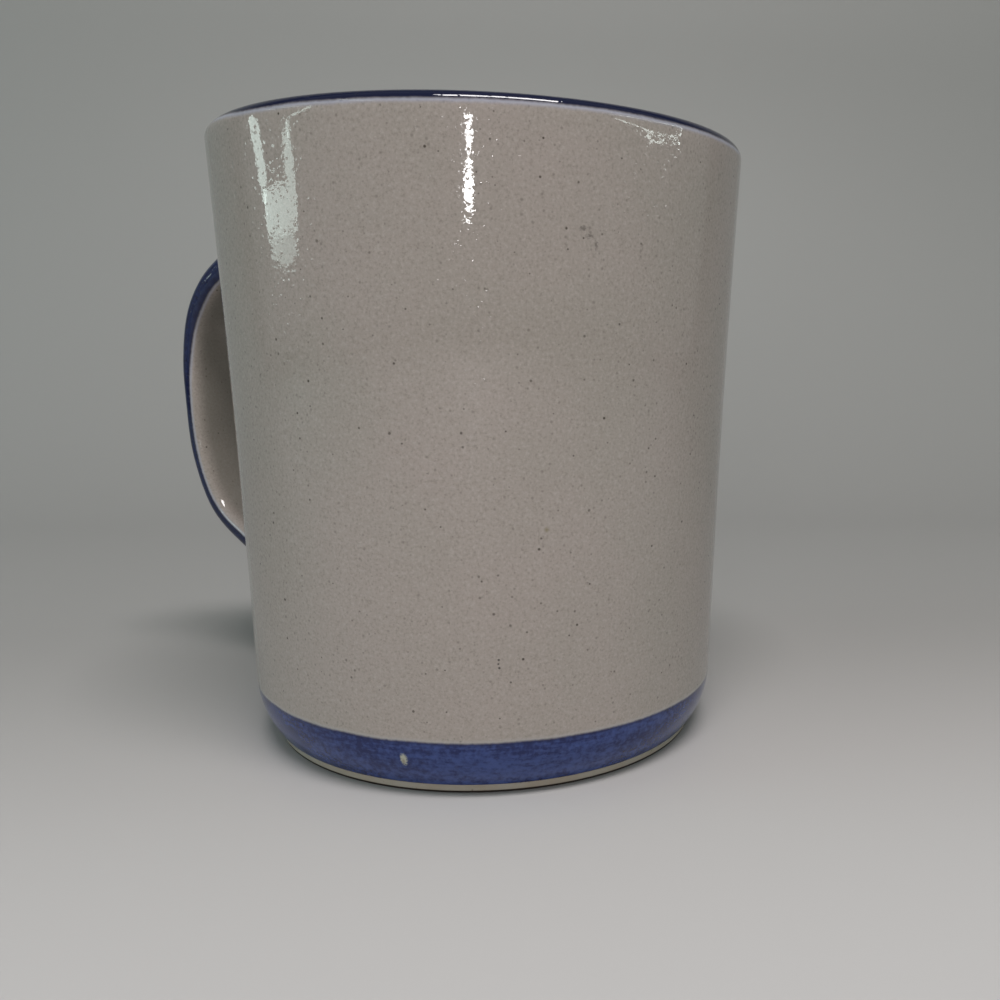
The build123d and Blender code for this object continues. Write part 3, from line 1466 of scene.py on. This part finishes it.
def with_heights(
    points: Sequence[Point2], outside: Sequence[float], inside: Sequence[float]
) -> list[Point2]:
    """Add points where a profile crosses given heights.

    Args:
        points: The profile.
        outside: Heights to mark on the way up.
        inside: Heights to mark on the way down.

    Returns:
        The profile with the marked points in place.
    """
    result = [points[0]]
    for before, after in zip(points, points[1:]):
        rising = after[1] > before[1]
        for height in outside if rising else inside:
            low, high = sorted((before[1], after[1]))
            if low < height < high:
                share = (height - before[1]) / (after[1] - before[1])
                result.append((mix(before[0], after[0], share), height))
        result.append(after)
    return result


# ------------------------------------------------------------------ the strap
@dataclass(frozen=True)
class StrapForm:
    """Centre line and section of the pulled strap, which lies in the XZ plane."""

    points_mm: tuple[Point2, ...] = (
        (36.0, 77.3), (46.5, 79.8), (55.8, 77.3), (63.9, 69.9), (66.8, 60.6), (67.0, 51.5),
        (66.0, 41.6), (61.5, 31.9), (53.8, 26.5), (45.8, 23.2), (36.0, 20.8),
    )
    stations_mm: tuple[Point3, ...] = (
        (0.00, 24.5, 8.8), (0.10, 22.0, 7.2), (0.22, 20.6, 6.3), (0.35, 20.0, 5.9), (0.50, 19.8, 5.7),
        (0.65, 19.6, 5.7), (0.80, 19.8, 5.9), (0.90, 20.6, 6.4), (1.00, 22.4, 7.6),
    )
    crown_power: float = 2.5
    inner_power: float = 3.7
    belly: float = 0.12
    bare_edge_share: float = 0.24
    half_steps: int = 40
    fine_steps: int = 800
    reach: float = 0.002

    @cached_property
    def knots(self) -> list[float]:
        """Share of the chord length at which each point of the line lies.

        Returns:
            The shares, from 0 to 1.
        """
        lengths = [0.0]
        for before, after in zip(self.points_mm, self.points_mm[1:]):
            lengths.append(lengths[-1] + math.dist(before, after))
        return [length / lengths[-1] for length in lengths]

    @cached_property
    def slopes(self) -> list[Point2]:
        """Change of the centre line per unit of share at each of its points."""
        return [self.slope(index) for index in range(len(self.points_mm))]

    def slope(self, index: int) -> Point2:
        """Change of the centre line at one of its points.

        Args:
            index: Number of the point.

        Returns:
            The change of both coordinates per unit of share.
        """
        knots, points = self.knots, self.points_mm
        before, after = max(index - 1, 0), min(index + 1, len(points) - 1)

        def chord(first: int, second: int, axis: int) -> float:
            """Change of one coordinate per unit of share between two points."""
            return (points[second][axis] - points[first][axis]) / (knots[second] - knots[first])

        if index in (before, after):
            return (chord(before, after, 0), chord(before, after, 1))
        back, ahead = knots[index] - knots[before], knots[after] - knots[index]
        return tuple(
            (chord(index, after, axis) * back + chord(before, index, axis) * ahead) / (back + ahead)
            for axis in (0, 1)
        )

    def centre(self, share: float) -> Vector:
        """Point of the centre line.

        Args:
            share: Share of the line's length.

        Returns:
            The point, in metres.
        """
        knots = self.knots
        index = min(max(bisect_right(knots, share) - 1, 0), len(knots) - 2)
        span = knots[index + 1] - knots[index]
        ends, slopes = self.points_mm[index:index + 2], self.slopes[index:index + 2]
        x, z = (
            hermite(ends[0][axis], slopes[0][axis] * span, ends[1][axis], slopes[1][axis] * span,
                    (share - knots[index]) / span)
            for axis in (0, 1)
        )
        return Vector((x, 0.0, z)) * MM

    def direction(self, share: float) -> Vector:
        """Direction of the centre line, from the upper to the lower root."""
        return (self.centre(share + self.reach) - self.centre(share - self.reach)).normalized()

    def section(self, share: float) -> Point2:
        """Half width and half thickness of the strap.

        Args:
            share: Share of the line's length.

        Returns:
            Both halves, in metres.
        """
        for before, after in zip(self.stations_mm, self.stations_mm[1:]):
            if share <= after[0]:
                break
        local = ease(0, 1, (share - before[0]) / (after[0] - before[0]))
        return (
            mix(before[1], after[1], local) * MM / 2,
            mix(before[2], after[2], local) * MM / 2,
        )

    def rounded(self, angle: float) -> Point2:
        """Point of the strap's outline.

        Args:
            angle: Angle of the point, which is a right angle at the crown.

        Returns:
            Shares of the half width and the half thickness.
        """
        power = self.crown_power if math.sin(angle) > 0 else self.inner_power
        across = math.copysign(abs(math.cos(angle)) ** (2 / power), math.cos(angle))
        through = math.copysign(abs(math.sin(angle)) ** (2 / power), math.sin(angle))
        return (across, through - self.belly * (1 - through**2))

    def half_outline(self) -> list[Point3]:
        """Right half of the outline, evenly spaced from its crown to its inner face.

        Returns:
            Shares of the half width and half thickness, and the distance along the
            outline from the brush stroke's edge, more than 0 on the painted side.
        """
        width, thickness = self.section(0.5)
        fine = [
            self.rounded(math.pi / 2 - math.pi * step / self.fine_steps)
            for step in range(self.fine_steps + 1)
        ]
        lengths = [0.0]
        for before, after in zip(fine, fine[1:]):
            gap = ((after[0] - before[0]) * width, (after[1] - before[1]) * thickness)
            lengths.append(lengths[-1] + math.hypot(*gap))
        edge_height = 2 * self.bare_edge_share - 1
        border = min(range(len(fine)), key=lambda i: abs(fine[i][1] - edge_height) + (fine[i][0] < 0.5))
        above = round(self.half_steps * lengths[border] / lengths[-1])
        goals = [lengths[border] * step / above for step in range(above)]
        rest = self.half_steps - above
        goals += [mix(lengths[border], lengths[-1], step / rest) for step in range(rest + 1)]
        result = []
        for goal in goals:
            index = min(range(len(fine)), key=lambda i: abs(lengths[i] - goal))
            result.append((fine[index][0], fine[index][1], lengths[border] - lengths[index]))
        return result


class Root(Enum):
    """Roots of the strap: a share of its length in the wall, one clear of it, and the way out."""

    UPPER = (0.004, 0.3, 1)
    LOWER = (0.996, 0.7, -1)


class StrapCoat(Enum):
    """Pieces cut from the strap's surface."""

    UPPER_JOINT = Coat("upper_slip_joint", 1, Slot.SPECKLED)
    LOWER_JOINT = Coat("lower_slip_joint", 2, Slot.SPECKLED)
    STRIPE = Coat("handle_stripe", 3, Slot.COBALT)
    BARE = Coat("handle_glaze", 4, Slot.SPECKLED)


@dataclass
class Strap:
    """The pulled handle: its slip fillets and the coats cut from one surface.

    A generator is the line that one point of the outline draws along the strap.
    """

    cup: CupForm
    drift: ThrownDrift
    finishes: Finishes
    form: StrapForm = field(default_factory=StrapForm)
    fillet: float = 3.0 * MM
    fillet_steps: int = 10
    fillet_drift: float = 0.16
    fillet_drift_size: float = 7 * MM
    fillet_pull: float = 1.66
    fillet_sunk: float = 0.03 * MM
    lean_reach: float = 0.5 * MM
    neck_steps: int = 3
    body_steps: int = 104
    middle_steps: int = 40
    halvings: int = 26
    joint_reach: float = 45.8 * MM
    stroke_end: float = 49.5 * MM
    stroke_end_steps: int = 4
    pinch_depth: float = 0.16 * MM
    pinch_size: float = 9 * MM
    pinch_seed: Point3 = (8.1, 2.2, 5.9)
    pinch_fade: float = 4 * MM
    brush_stretch: float = 7.0
    brush_ring: float = 1.3 * MM
    stroke_load: float = 0.78
    stroke_tip: float = 3 * MM
    stroke_tip_width: float = 5 * MM
    tip_height: float = 45 * MM
    root_paint: float = 1.2 * MM
    slim_height: float = 50 * MM
    slim_zone: float = 22 * MM
    slim_stroke: float = 0.45 * MM
    full_stroke: float = 0.85 * MM
    # Painted shade on the strap's inner face: its strongest share, and where it starts, peaks and fades
    # near the wall.
    shade_most: float = 0.6
    shade_from: float = 0.5 * MM
    shade_middle: float = 3.5 * MM
    shade_root: float = 6 * MM

    def __post_init__(self) -> None:
        """Work out the outline once."""
        half = self.form.half_outline()
        mirrored = [(-across, through, inside) for across, through, inside in reversed(half[1:-1])]
        self.outline = half + mirrored
        self.around = len(self.outline)
        self.border = min(range(self.form.half_steps), key=lambda i: abs(half[i][2]))
        steps = self.middle_steps
        self.middle = [self.form.centre(step / steps) for step in range(2, steps - 1)]

    def build(self, clay: bpy.types.Object) -> None:
        """Build every piece of the handle.

        Args:
            clay: The packed clay of the handle, which is dressed but not replaced.
        """
        skin = self.skin()
        for coat in StrapCoat:
            coat.value.cut(skin, self.cup.coat_thickness, self.finishes)
        skin.free()
        self.finishes.coat(clay, Slot.STONEWARE)

    def generator(self, index: int, share: float) -> Vector:
        """Point of one generator.

        Args:
            index: Number of the point in the outline.
            share: Share of the strap's length.

        Returns:
            The point, before the maker's hand strays from it.
        """
        across, through, _ = self.outline[index % self.around]
        width, thickness = self.form.section(share)
        side = Vector((0, 1, 0))
        crown = self.form.direction(share).cross(side)
        return self.form.centre(share) + side * across * width + crown * through * thickness

    def wall_gap(self, place: Vector) -> float:
        """Distance outwards from the cup's wall to a point."""
        return math.hypot(place.x, place.y) - self.cup.wall_radius(place.z)

    def crossing(self, index: int, root: Root, measure: Callable[[Vector], float]) -> float:
        """Where a measure of a generator passes 0 near a root.

        Args:
            index: Number of the point in the outline.
            root: The root.
            measure: Less than 0 towards the root, more than 0 away from it.

        Returns:
            The share of the strap's length.
        """
        near, far, _ = root.value
        for _ in range(self.halvings):
            middle = (near + far) / 2
            if measure(self.generator(index, middle)) < 0:
                near = middle
            else:
                far = middle
        return (near + far) / 2

    def shares_at(self, reach: float, root: Root) -> list[float]:
        """Share of the strap's length at which each generator passes a distance from the YZ plane."""
        return [self.crossing(index, root, lambda place: place.x - reach) for index in range(self.around)]

    def fillet_ends(self, index: int, root: Root) -> Point3:
        """Where the slip fillet covers a generator.

        Args:
            index: Number of the point in the outline.
            root: The root.

        Returns:
            Share at the wall, size of the fillet there, and share at the fillet's top.
        """
        hit = self.crossing(index, root, self.wall_gap)
        drift = noise.noise(self.generator(index, hit) / self.fillet_drift_size)
        size = self.fillet * (1 + self.fillet_drift * drift)
        return (hit, size, self.crossing(index, root, lambda place: self.wall_gap(place) - size))

    def on_wall(self, place: Vector) -> Vector:
        """Nearest place on the worked wall, sunk a little below its surface."""
        scale = (self.cup.wall_radius(place.z) - self.fillet_sunk) / math.hypot(place.x, place.y)
        return self.drift.strayed(Vector((place.x * scale, place.y * scale, place.z)), self.cup.height)

    def wall_normal(self, place: Vector) -> Vector:
        """Direction out of the cup's wall.

        Args:
            place: A place on the wall.

        Returns:
            The direction, of unit length.
        """
        reach = self.lean_reach
        lean = self.cup.wall_radius(place.z + reach) - self.cup.wall_radius(place.z - reach)
        radius = math.hypot(place.x, place.y)
        return Vector((place.x / radius, place.y / radius, -lean / (2 * reach))).normalized()

    def spread_over_wall(self, index: int, share: float) -> Vector:
        """Direction in which the fillet runs out over the wall.

        Args:
            index: Number of the point in the outline.
            share: Share of the strap's length at which its generator meets the wall.

        Returns:
            The direction along the wall, away from the strap.
        """
        before, here, after = (self.generator(index + step, share) for step in (-1, 0, 1))
        outward = (after - before).cross(self.form.direction(share)).normalized()
        if outward.dot(here - self.form.centre(share)) < 0:
            outward = -outward
        normal = self.wall_normal(here)
        return (outward - normal * outward.dot(normal)).normalized()

    def fillet_rings(self, root: Root) -> list[Ring]:
        """Rings of one slip fillet.

        Args:
            root: The root.

        Returns:
            The rings, from the wall to where the fillet meets the strap.
        """
        columns = []
        for index in range(self.around):
            hit, size, top = self.fillet_ends(index, root)
            away = self.spread_over_wall(index, hit)
            start = self.on_wall(self.generator(index, hit) + away * size)
            end = self.generator(index, top)
            leave = self.form.direction(top) * root.value[2]
            pull = self.fillet_pull * size
            columns.append([
                hermite(start, -away * pull, end, leave * pull, step / self.fillet_steps)
                for step in range(self.fillet_steps)
            ])
        return [list(ring) for ring in zip(*columns)]

    def worked(self, index: int, share: float) -> Vector:
        """Point of a generator where the fingers pulled the strap thinner.

        Args:
            index: Number of the point in the outline.
            share: Share of the strap's length.

        Returns:
            The point, moved into the strap.
        """
        place = self.generator(index, share)
        depth = self.pinch_depth * wavering(place / self.pinch_size, self.pinch_seed)
        inward = (self.form.centre(share) - place).normalized()
        fade = ease(self.joint_reach, self.joint_reach + self.pinch_fade, place.x)
        return place + inward * depth * fade

    def rings_between(
        self, place: Callable[[int, float], Vector], ends: Sequence[Sequence[float]], steps: int
    ) -> list[Ring]:
        """Rings of points between two sets of shares.

        Args:
            place: Gives the point of a generator at a share of the strap's length.
            ends: Share of each generator at the first ring, and at the one after the last.
            steps: Number of rings.

        Returns:
            The rings.
        """
        spans = list(enumerate(zip(*ends)))
        return [
            [place(index, mix(first, last, step / steps)) for index, (first, last) in spans]
            for step in range(steps)
        ]

    def neck_rings(self, root: Root) -> list[Ring]:
        """Rings of the strap inside one joint, from the fillet's top to the joint's edge.

        Args:
            root: The root.

        Returns:
            The rings.
        """
        tops = [self.fillet_ends(index, root)[2] for index in range(self.around)]
        ends = (tops, self.shares_at(self.joint_reach, root))
        return self.rings_between(self.generator, ends, self.neck_steps)

    def rings(self) -> list[Ring]:
        """Every ring of the strap's surface, from the upper to the lower root.

        Returns:
            The rings, each with one point on every generator.
        """
        upper_edge = self.shares_at(self.joint_reach, Root.UPPER)
        stroke_end = self.shares_at(self.stroke_end, Root.LOWER)
        lower_edge = self.shares_at(self.joint_reach, Root.LOWER)
        rings = self.fillet_rings(Root.UPPER) + self.neck_rings(Root.UPPER)
        rings += self.rings_between(self.worked, (upper_edge, stroke_end), self.body_steps)
        rings += self.rings_between(self.worked, (stroke_end, lower_edge), self.stroke_end_steps)
        rings.append([self.worked(index, share) for index, share in enumerate(lower_edge)])
        return rings + self.neck_rings(Root.LOWER)[::-1] + self.fillet_rings(Root.LOWER)[::-1]

    def coat_of(self, ring: float, index: float) -> StrapCoat:
        """Piece that a face belongs to.

        Args:
            ring: Place of the face among the rings.
            index: Its place along the outline.

        Returns:
            The piece.
        """
        first = self.fillet_steps + self.neck_steps
        if ring < first:
            return StrapCoat.UPPER_JOINT
        if ring > first + self.body_steps + self.stroke_end_steps:
            return StrapCoat.LOWER_JOINT
        painted = index < self.border or index > self.around - self.border
        if painted and ring < first + self.body_steps:
            return StrapCoat.STRIPE
        return StrapCoat.BARE

    def paint_depth(self, ring: int, inside: float, place: Vector) -> float:
        """How far a point lies inside the brush stroke.

        Args:
            ring: Number of the point's ring.
            inside: Distance along the outline from the stroke's edge to the point.
            place: The point.

        Returns:
            Distance to the nearest edge of the paint, less than 0 outside it.
        """
        swell = ease(self.slim_height, self.slim_height + self.slim_zone, place.z)
        depth = inside + mix(-self.slim_stroke, self.full_stroke, swell)
        if ring < self.fillet_steps + self.neck_steps:
            depth = min(depth, self.wall_gap(place) - self.root_paint)
        if place.z < self.tip_height:
            edge = max(0.0, 1 - inside / self.stroke_tip_width)
            depth = min(depth, place.x - self.stroke_end - self.stroke_tip * edge * edge)
        return depth

    def inner_face_shade(self, inside: float, place: Vector) -> float:
        """Share of painted shade on the strap, most along the middle of the inner face and fading out near
        the wall.
        """
        middle = ease(self.shade_from, self.shade_middle, -inside)
        return self.shade_most * middle * ease(self.shade_from, self.shade_root, self.wall_gap(place))

    def skin(self) -> BMesh:
        """The strap's whole surface with its fillets, its pieces numbered.

        Returns:
            The surface, open at both roots.
        """
        rings = self.rings()
        across, along = len(rings) - 1, self.around

        def net(spot: Vector) -> Point2:
            """Place among the rings and along the outline of a spot on the flat grid."""
            return ((spot.x + 1) / 2 * across, (spot.y + 1) / 2 * along)

        bm = bmesh.new()
        bmesh.ops.create_grid(bm, x_segments=across, y_segments=along, size=1.0)
        number = bm.faces.layers.int.new(COAT_NUMBER)
        for face in bm.faces:
            face[number] = self.coat_of(*net(face.calc_center_median())).value.number
        depth = bm.verts.layers.float.new(PAINT_DEPTH)
        brush = bm.verts.layers.float_vector.new(BRUSH_PLACE)
        load = bm.verts.layers.float.new(PAINT_LOAD)
        # Vertex layer for the painted shade on the strap's inner face.
        thin = bm.verts.layers.float.new(PAINTED_INNER_SHADE)
        for vert in bm.verts:
            ring, index = (round(count) for count in net(vert.co))
            place = rings[ring][index % along]
            inside = self.outline[index % along][2]
            vert[depth] = self.paint_depth(ring, inside, place)
            vert[thin] = self.inner_face_shade(inside, place)
            vert[load] = self.stroke_load
            vert[brush] = (ring * self.brush_ring / self.brush_stretch, place.y, inside + 1)
            vert.co = place
        bmesh.ops.remove_doubles(bm, verts=bm.verts[:], dist=MERGE_GAP)
        face_outwards(bm, self.within_strap)
        keep_normals(bm)
        return bm

    def within_strap(self, place: Vector) -> Vector:
        """Point of the centre line next to a place on the surface."""
        return min(self.middle, key=lambda point: (point - place).length_squared)


def hermite(start: Place, leave: Place, end: Place, arrive: Place, share: float) -> Place:
    """Point a share of the way along a cubic that leaves and arrives in given directions.

    Args:
        start: First point, or one coordinate of it, as are the next three.
        leave: Direction in which the cubic leaves, as long as it pulls.
        end: Last point.
        arrive: Direction in which the cubic arrives.
        share: Share of the way.

    Returns:
        The point, or its coordinate.
    """
    return (
        start * ((1 + 2 * share) * (1 - share) ** 2)
        + leave * (share * (1 - share) ** 2)
        + end * (share**2 * (3 - 2 * share))
        + arrive * (share**2 * (share - 1))
    )


# ------------------------------------------------------------------ studio
@dataclass(frozen=True)
class Lamp:
    """Soft flat lamp, from one end to the other, that faces the mug."""

    name: str
    start: Point3
    end: Point3
    width: float
    glow: float
    colour: Point3 = (1.0, 1.0, 1.0)
    oval: bool = False
    fill: bool = False

    def hang(self, studio: Studio) -> None:
        """Hang the lamp in the scene.

        Args:
            studio: The studio whose places the lamp's ends are given in.
        """
        start, end = studio.seen(*self.start), studio.seen(*self.end)
        centre = (start + end) / 2
        facing = (centre - Vector((0, 0, studio.lamp_aim))).normalized()
        along = (end - start) - facing * (end - start).dot(facing)
        across = along.cross(facing).normalized()
        data = bpy.data.lights.new(self.name, "AREA")
        data.shape = "ELLIPSE" if self.oval else "RECTANGLE"
        data.size, data.size_y = self.width, along.length
        share = math.pi / 4 if self.oval else 1.0
        data.energy = self.glow * math.pi * self.width * along.length * share
        data.color = self.colour
        lamp = bpy.data.objects.new(self.name, data)
        turn = Matrix((across, along.normalized(), facing)).transposed()
        lamp.matrix_world = Matrix.Translation(centre) @ turn.to_4x4()
        lamp.visible_camera = False
        lamp.visible_glossy = not self.fill
        bpy.context.scene.collection.objects.link(lamp)


WARM = (1.0, 0.965, 0.96)
GREEN = (0.82, 1.0, 0.94)
PALE = (0.9, 1.0, 0.95)
CYAN = (0.12, 0.88, 1.0)
TEAL = (0.0, 0.85, 0.90)
NARROW_GLOW = 34.0

# Each end is given as seen from the camera: to the right, away and up.
LAMPS = (
    Lamp("soft_box", (-0.17, -0.32, 0.807), (0.28, -0.23, 0.807), 0.15, 25.5, WARM),
    Lamp("front_fill", (-0.06, -0.78, 0.12), (-0.06, -0.78, 0.46), 0.40, 4.6, WARM, fill=True),
    Lamp("left_fill", (-0.78, -0.05, 0.16), (-0.78, -0.05, 0.50), 0.40, 1.1, CYAN, fill=True),
    Lamp("right_fill", (0.78, -0.05, 0.16), (0.78, -0.05, 0.50), 0.40, 0.4, TEAL, fill=True),
    Lamp("narrow_head", (-0.0735, -0.835, 0.184), (-0.0735, -0.835, 0.167), 0.044, NARROW_GLOW, oval=True),
    Lamp("narrow_neck", (-0.074, -0.835, 0.172), (-0.076, -0.836, 0.142), 0.010, NARROW_GLOW),
    Lamp("narrow_drop", (-0.077, -0.836, 0.150), (-0.077, -0.836, 0.116), 0.054, NARROW_GLOW, oval=True),
    Lamp("window_left", (-0.796, 0.154, 0.234), (-0.820, 0.063, 0.147), 0.054, 5.0, GREEN),
    Lamp("window_right", (-0.813, -0.145, 0.184), (-0.813, -0.145, 0.150), 0.068, 5.0, GREEN),
    Lamp("window_head", (-0.790, 0.060, 0.332), (-0.775, -0.220, 0.318), 0.022, 3.5, GREEN),
    Lamp("window_tip", (-0.753, -0.311, 0.261), (-0.812, -0.142, 0.182), 0.015, 5.0, GREEN),
    Lamp("window_body", (-0.824, -0.045, 0.150), (-0.824, -0.045, 0.113), 0.264, 5.0, GREEN),
    Lamp("window_foot", (-0.825, -0.040, 0.115), (-0.825, -0.040, 0.088), 0.230, 3.0, GREEN, oval=True),
    Lamp("frame_foot", (0.655, -0.494, 0.248), (0.775, -0.288, 0.187), 0.009, 9.0, PALE),
    Lamp("frame_sill", (0.775, -0.288, 0.187), (0.819, -0.051, 0.195), 0.0032, 12.0, PALE),
    Lamp("frame_side", (0.819, -0.060, 0.194), (0.793, -0.002, 0.322), 0.012, 8.0, PALE),
    Lamp("frame_head", (0.636, -0.480, 0.341), (0.790, -0.013, 0.331), 0.022, 7.0, PALE),
    Lamp("strap_edge", (-0.487, -0.550, 0.373), (-0.595, -0.242, 0.546), 0.020, 5.0, PALE),
)


@dataclass(frozen=True)
class Studio:
    """Pale floor that sweeps up behind the mug, its lamps and the camera."""

    lamps: tuple[Lamp, ...] = LAMPS
    azimuth: float = math.radians(129)
    camera_reach: float = 0.1726
    camera_height: float = 0.0654
    yaw: float = 0.1358
    pitch: float = -0.2203
    roll: float = 0.01616
    lens: float = 35.76
    film_width: float = 36.0
    shift: Point2 = (-0.1204, 0.063)
    near_clip: float = 0.01
    lamp_aim: float = 0.07
    half_floor: float = 1.2
    floor_front: float = 1.3
    backdrop_reach: float = 0.40
    backdrop_height: float = 1.4
    cove_radius: float = 0.22
    cove_steps: int = 24
    # Painted light and shade of the floor: lighter in front, darker behind the mug and on the backdrop.
    lit_floor_colour: Colour = srgb(190, 187, 186)
    shaded_floor_colour: Colour = srgb(151, 149, 147)
    wall_colour: Colour = srgb(144, 142, 140)
    floor_roughness: float = 0.6
    floor_shade_fade: Point2 = (-0.11, 0.06)
    air_fade: Point2 = (-0.6, 0.8)
    air_rise: float = 0.75
    left_air: Colour = (0.270, 0.345, 0.300, 1.0)
    right_air: Colour = (0.085, 0.140, 0.115, 1.0)
    plain_air: Colour = srgb(136, 140, 137)
    high_air: Colour = (0.080, 0.088, 0.095, 1.0)

    def build(self) -> None:
        """Set up the floor, the lamps, the world and the camera."""
        self.floor()
        for lamp in self.lamps:
            lamp.hang(self)
        self.world()
        self.camera()
        bpy.context.scene.view_settings.view_transform = "Standard"

    @property
    def turn(self) -> Matrix:
        """Turn from the camera's side of the mug to the frame."""
        return Matrix.Rotation(self.azimuth + math.pi / 2, 3, "Z")

    def seen(self, right: float, away: float, height: float) -> Vector:
        """Place given as seen from the camera's side of the mug's axis."""
        return self.turn @ Vector((right, away, height))

    def floor(self) -> None:
        """Lay the floor and sweep it up into the backdrop."""
        cove_start = self.backdrop_reach - self.cove_radius
        cove = Arc((cove_start, self.cove_radius), self.cove_radius, -math.pi / 2, math.pi / 2)
        line = [(-self.floor_front, 0.0), (cove_start, 0.0), *cove.points(self.cove_steps)[1:]]
        line.append((self.backdrop_reach, self.backdrop_height))
        bm = bmesh.new()
        verts = [bm.verts.new(self.seen(-self.half_floor, away, height)) for away, height in line]
        edges = [bm.edges.new(pair) for pair in zip(verts, verts[1:])]
        swept = bmesh.ops.extrude_edge_only(bm, edges=edges)
        moved = [item for item in swept["geom"] if isinstance(item, bmesh.types.BMVert)]
        bmesh.ops.translate(bm, verts=moved, vec=self.seen(2 * self.half_floor, 0, 0))
        bmesh.ops.recalc_face_normals(bm, faces=bm.faces[:])
        piece = finished_object(bm, "floor")
        piece.data.materials.append(self.floor_material())
        piece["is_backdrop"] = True

    def floor_material(self) -> bpy.types.Material:
        """Plain pale sheet with painted light and shade: lighter in front of the mug, darker behind it and
        up the backdrop.

        Returns:
            The material.
        """
        graph = MaterialGraph.start("pale_floor")
        away = graph.vector_math("DOT_PRODUCT", graph.place, self.seen(0, 1, 0)).outputs["Value"]
        # Painted shade: the floor fades from a lighter colour in front of the mug to a darker one behind
        # it, and darker again up the backdrop.
        colour = graph.blend(graph.step(away, *self.floor_shade_fade), self.lit_floor_colour, self.shaded_floor_colour)
        rise = graph.step(graph.rise(graph.place), 0.0, self.cove_radius)
        graph.surface(graph.blend(rise, colour, self.wall_colour), self.floor_roughness)
        return graph.material

    def world(self) -> None:
        """Dim light from all round, greener near the horizon and brightest on the window's side."""
        world = bpy.data.worlds.new("studio_air")
        world.use_nodes = True
        graph = Graph(world.node_tree)
        way = graph.node("ShaderNodeTexCoord").outputs["Generated"]
        across = graph.vector_math("DOT_PRODUCT", way, self.seen(1, 0, 0)).outputs["Value"]
        low = graph.blend(graph.step(across, *self.air_fade), self.left_air, self.right_air)
        air = graph.blend(graph.step(graph.rise(way), 0.0, self.air_rise), low, self.high_air)
        path = graph.node("ShaderNodeLightPath").outputs
        shown = graph.math("MAXIMUM", path["Is Camera Ray"], path["Is Transmission Ray"])
        shown = graph.math("MAXIMUM", shown, path["Is Glossy Ray"])
        background = world.node_tree.nodes["Background"]
        graph.feed(background.inputs["Color"], graph.blend(shown, air, self.plain_air))
        background.inputs["Strength"].default_value = 1.0
        bpy.context.scene.world = world

    def camera(self) -> None:
        """Set the camera up in front of the mug, close and a little above its middle."""
        forward = Vector((
            math.sin(self.yaw) * math.cos(self.pitch),
            math.cos(self.yaw) * math.cos(self.pitch),
            math.sin(self.pitch),
        ))
        side = forward.cross(Vector((0, 0, 1))).normalized()
        up = side.cross(forward)
        right = side * math.cos(self.roll) + up * math.sin(self.roll)
        above = up * math.cos(self.roll) - side * math.sin(self.roll)
        view = self.turn @ Matrix((right, above, -forward)).transposed()
        data = bpy.data.cameras.new("camera")
        data.lens = self.lens
        data.sensor_width = self.film_width
        data.shift_x, data.shift_y = self.shift
        data.clip_start = self.near_clip
        camera = bpy.data.objects.new("camera", data)
        stand = self.seen(0, -self.camera_reach, self.camera_height)
        camera.matrix_world = Matrix.Translation(stand) @ view.to_4x4()
        bpy.context.scene.collection.objects.link(camera)
        bpy.context.scene.camera = camera


def main(frame: dict, packed: tuple[Vector, Vector]) -> None:
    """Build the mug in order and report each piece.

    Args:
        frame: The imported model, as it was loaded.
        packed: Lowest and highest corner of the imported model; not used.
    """
    form = CupForm.from_frame()
    drift = ThrownDrift()
    finishes = Finishes.make(form)
    Cup(form, drift, finishes).build()
    Strap(form, drift, finishes).build(frame["nodes"]["clay_handle"])
    Studio().build()


if __name__ == "__main__":
    logging.basicConfig(level=logging.INFO, format="%(name)s: %(message)s")
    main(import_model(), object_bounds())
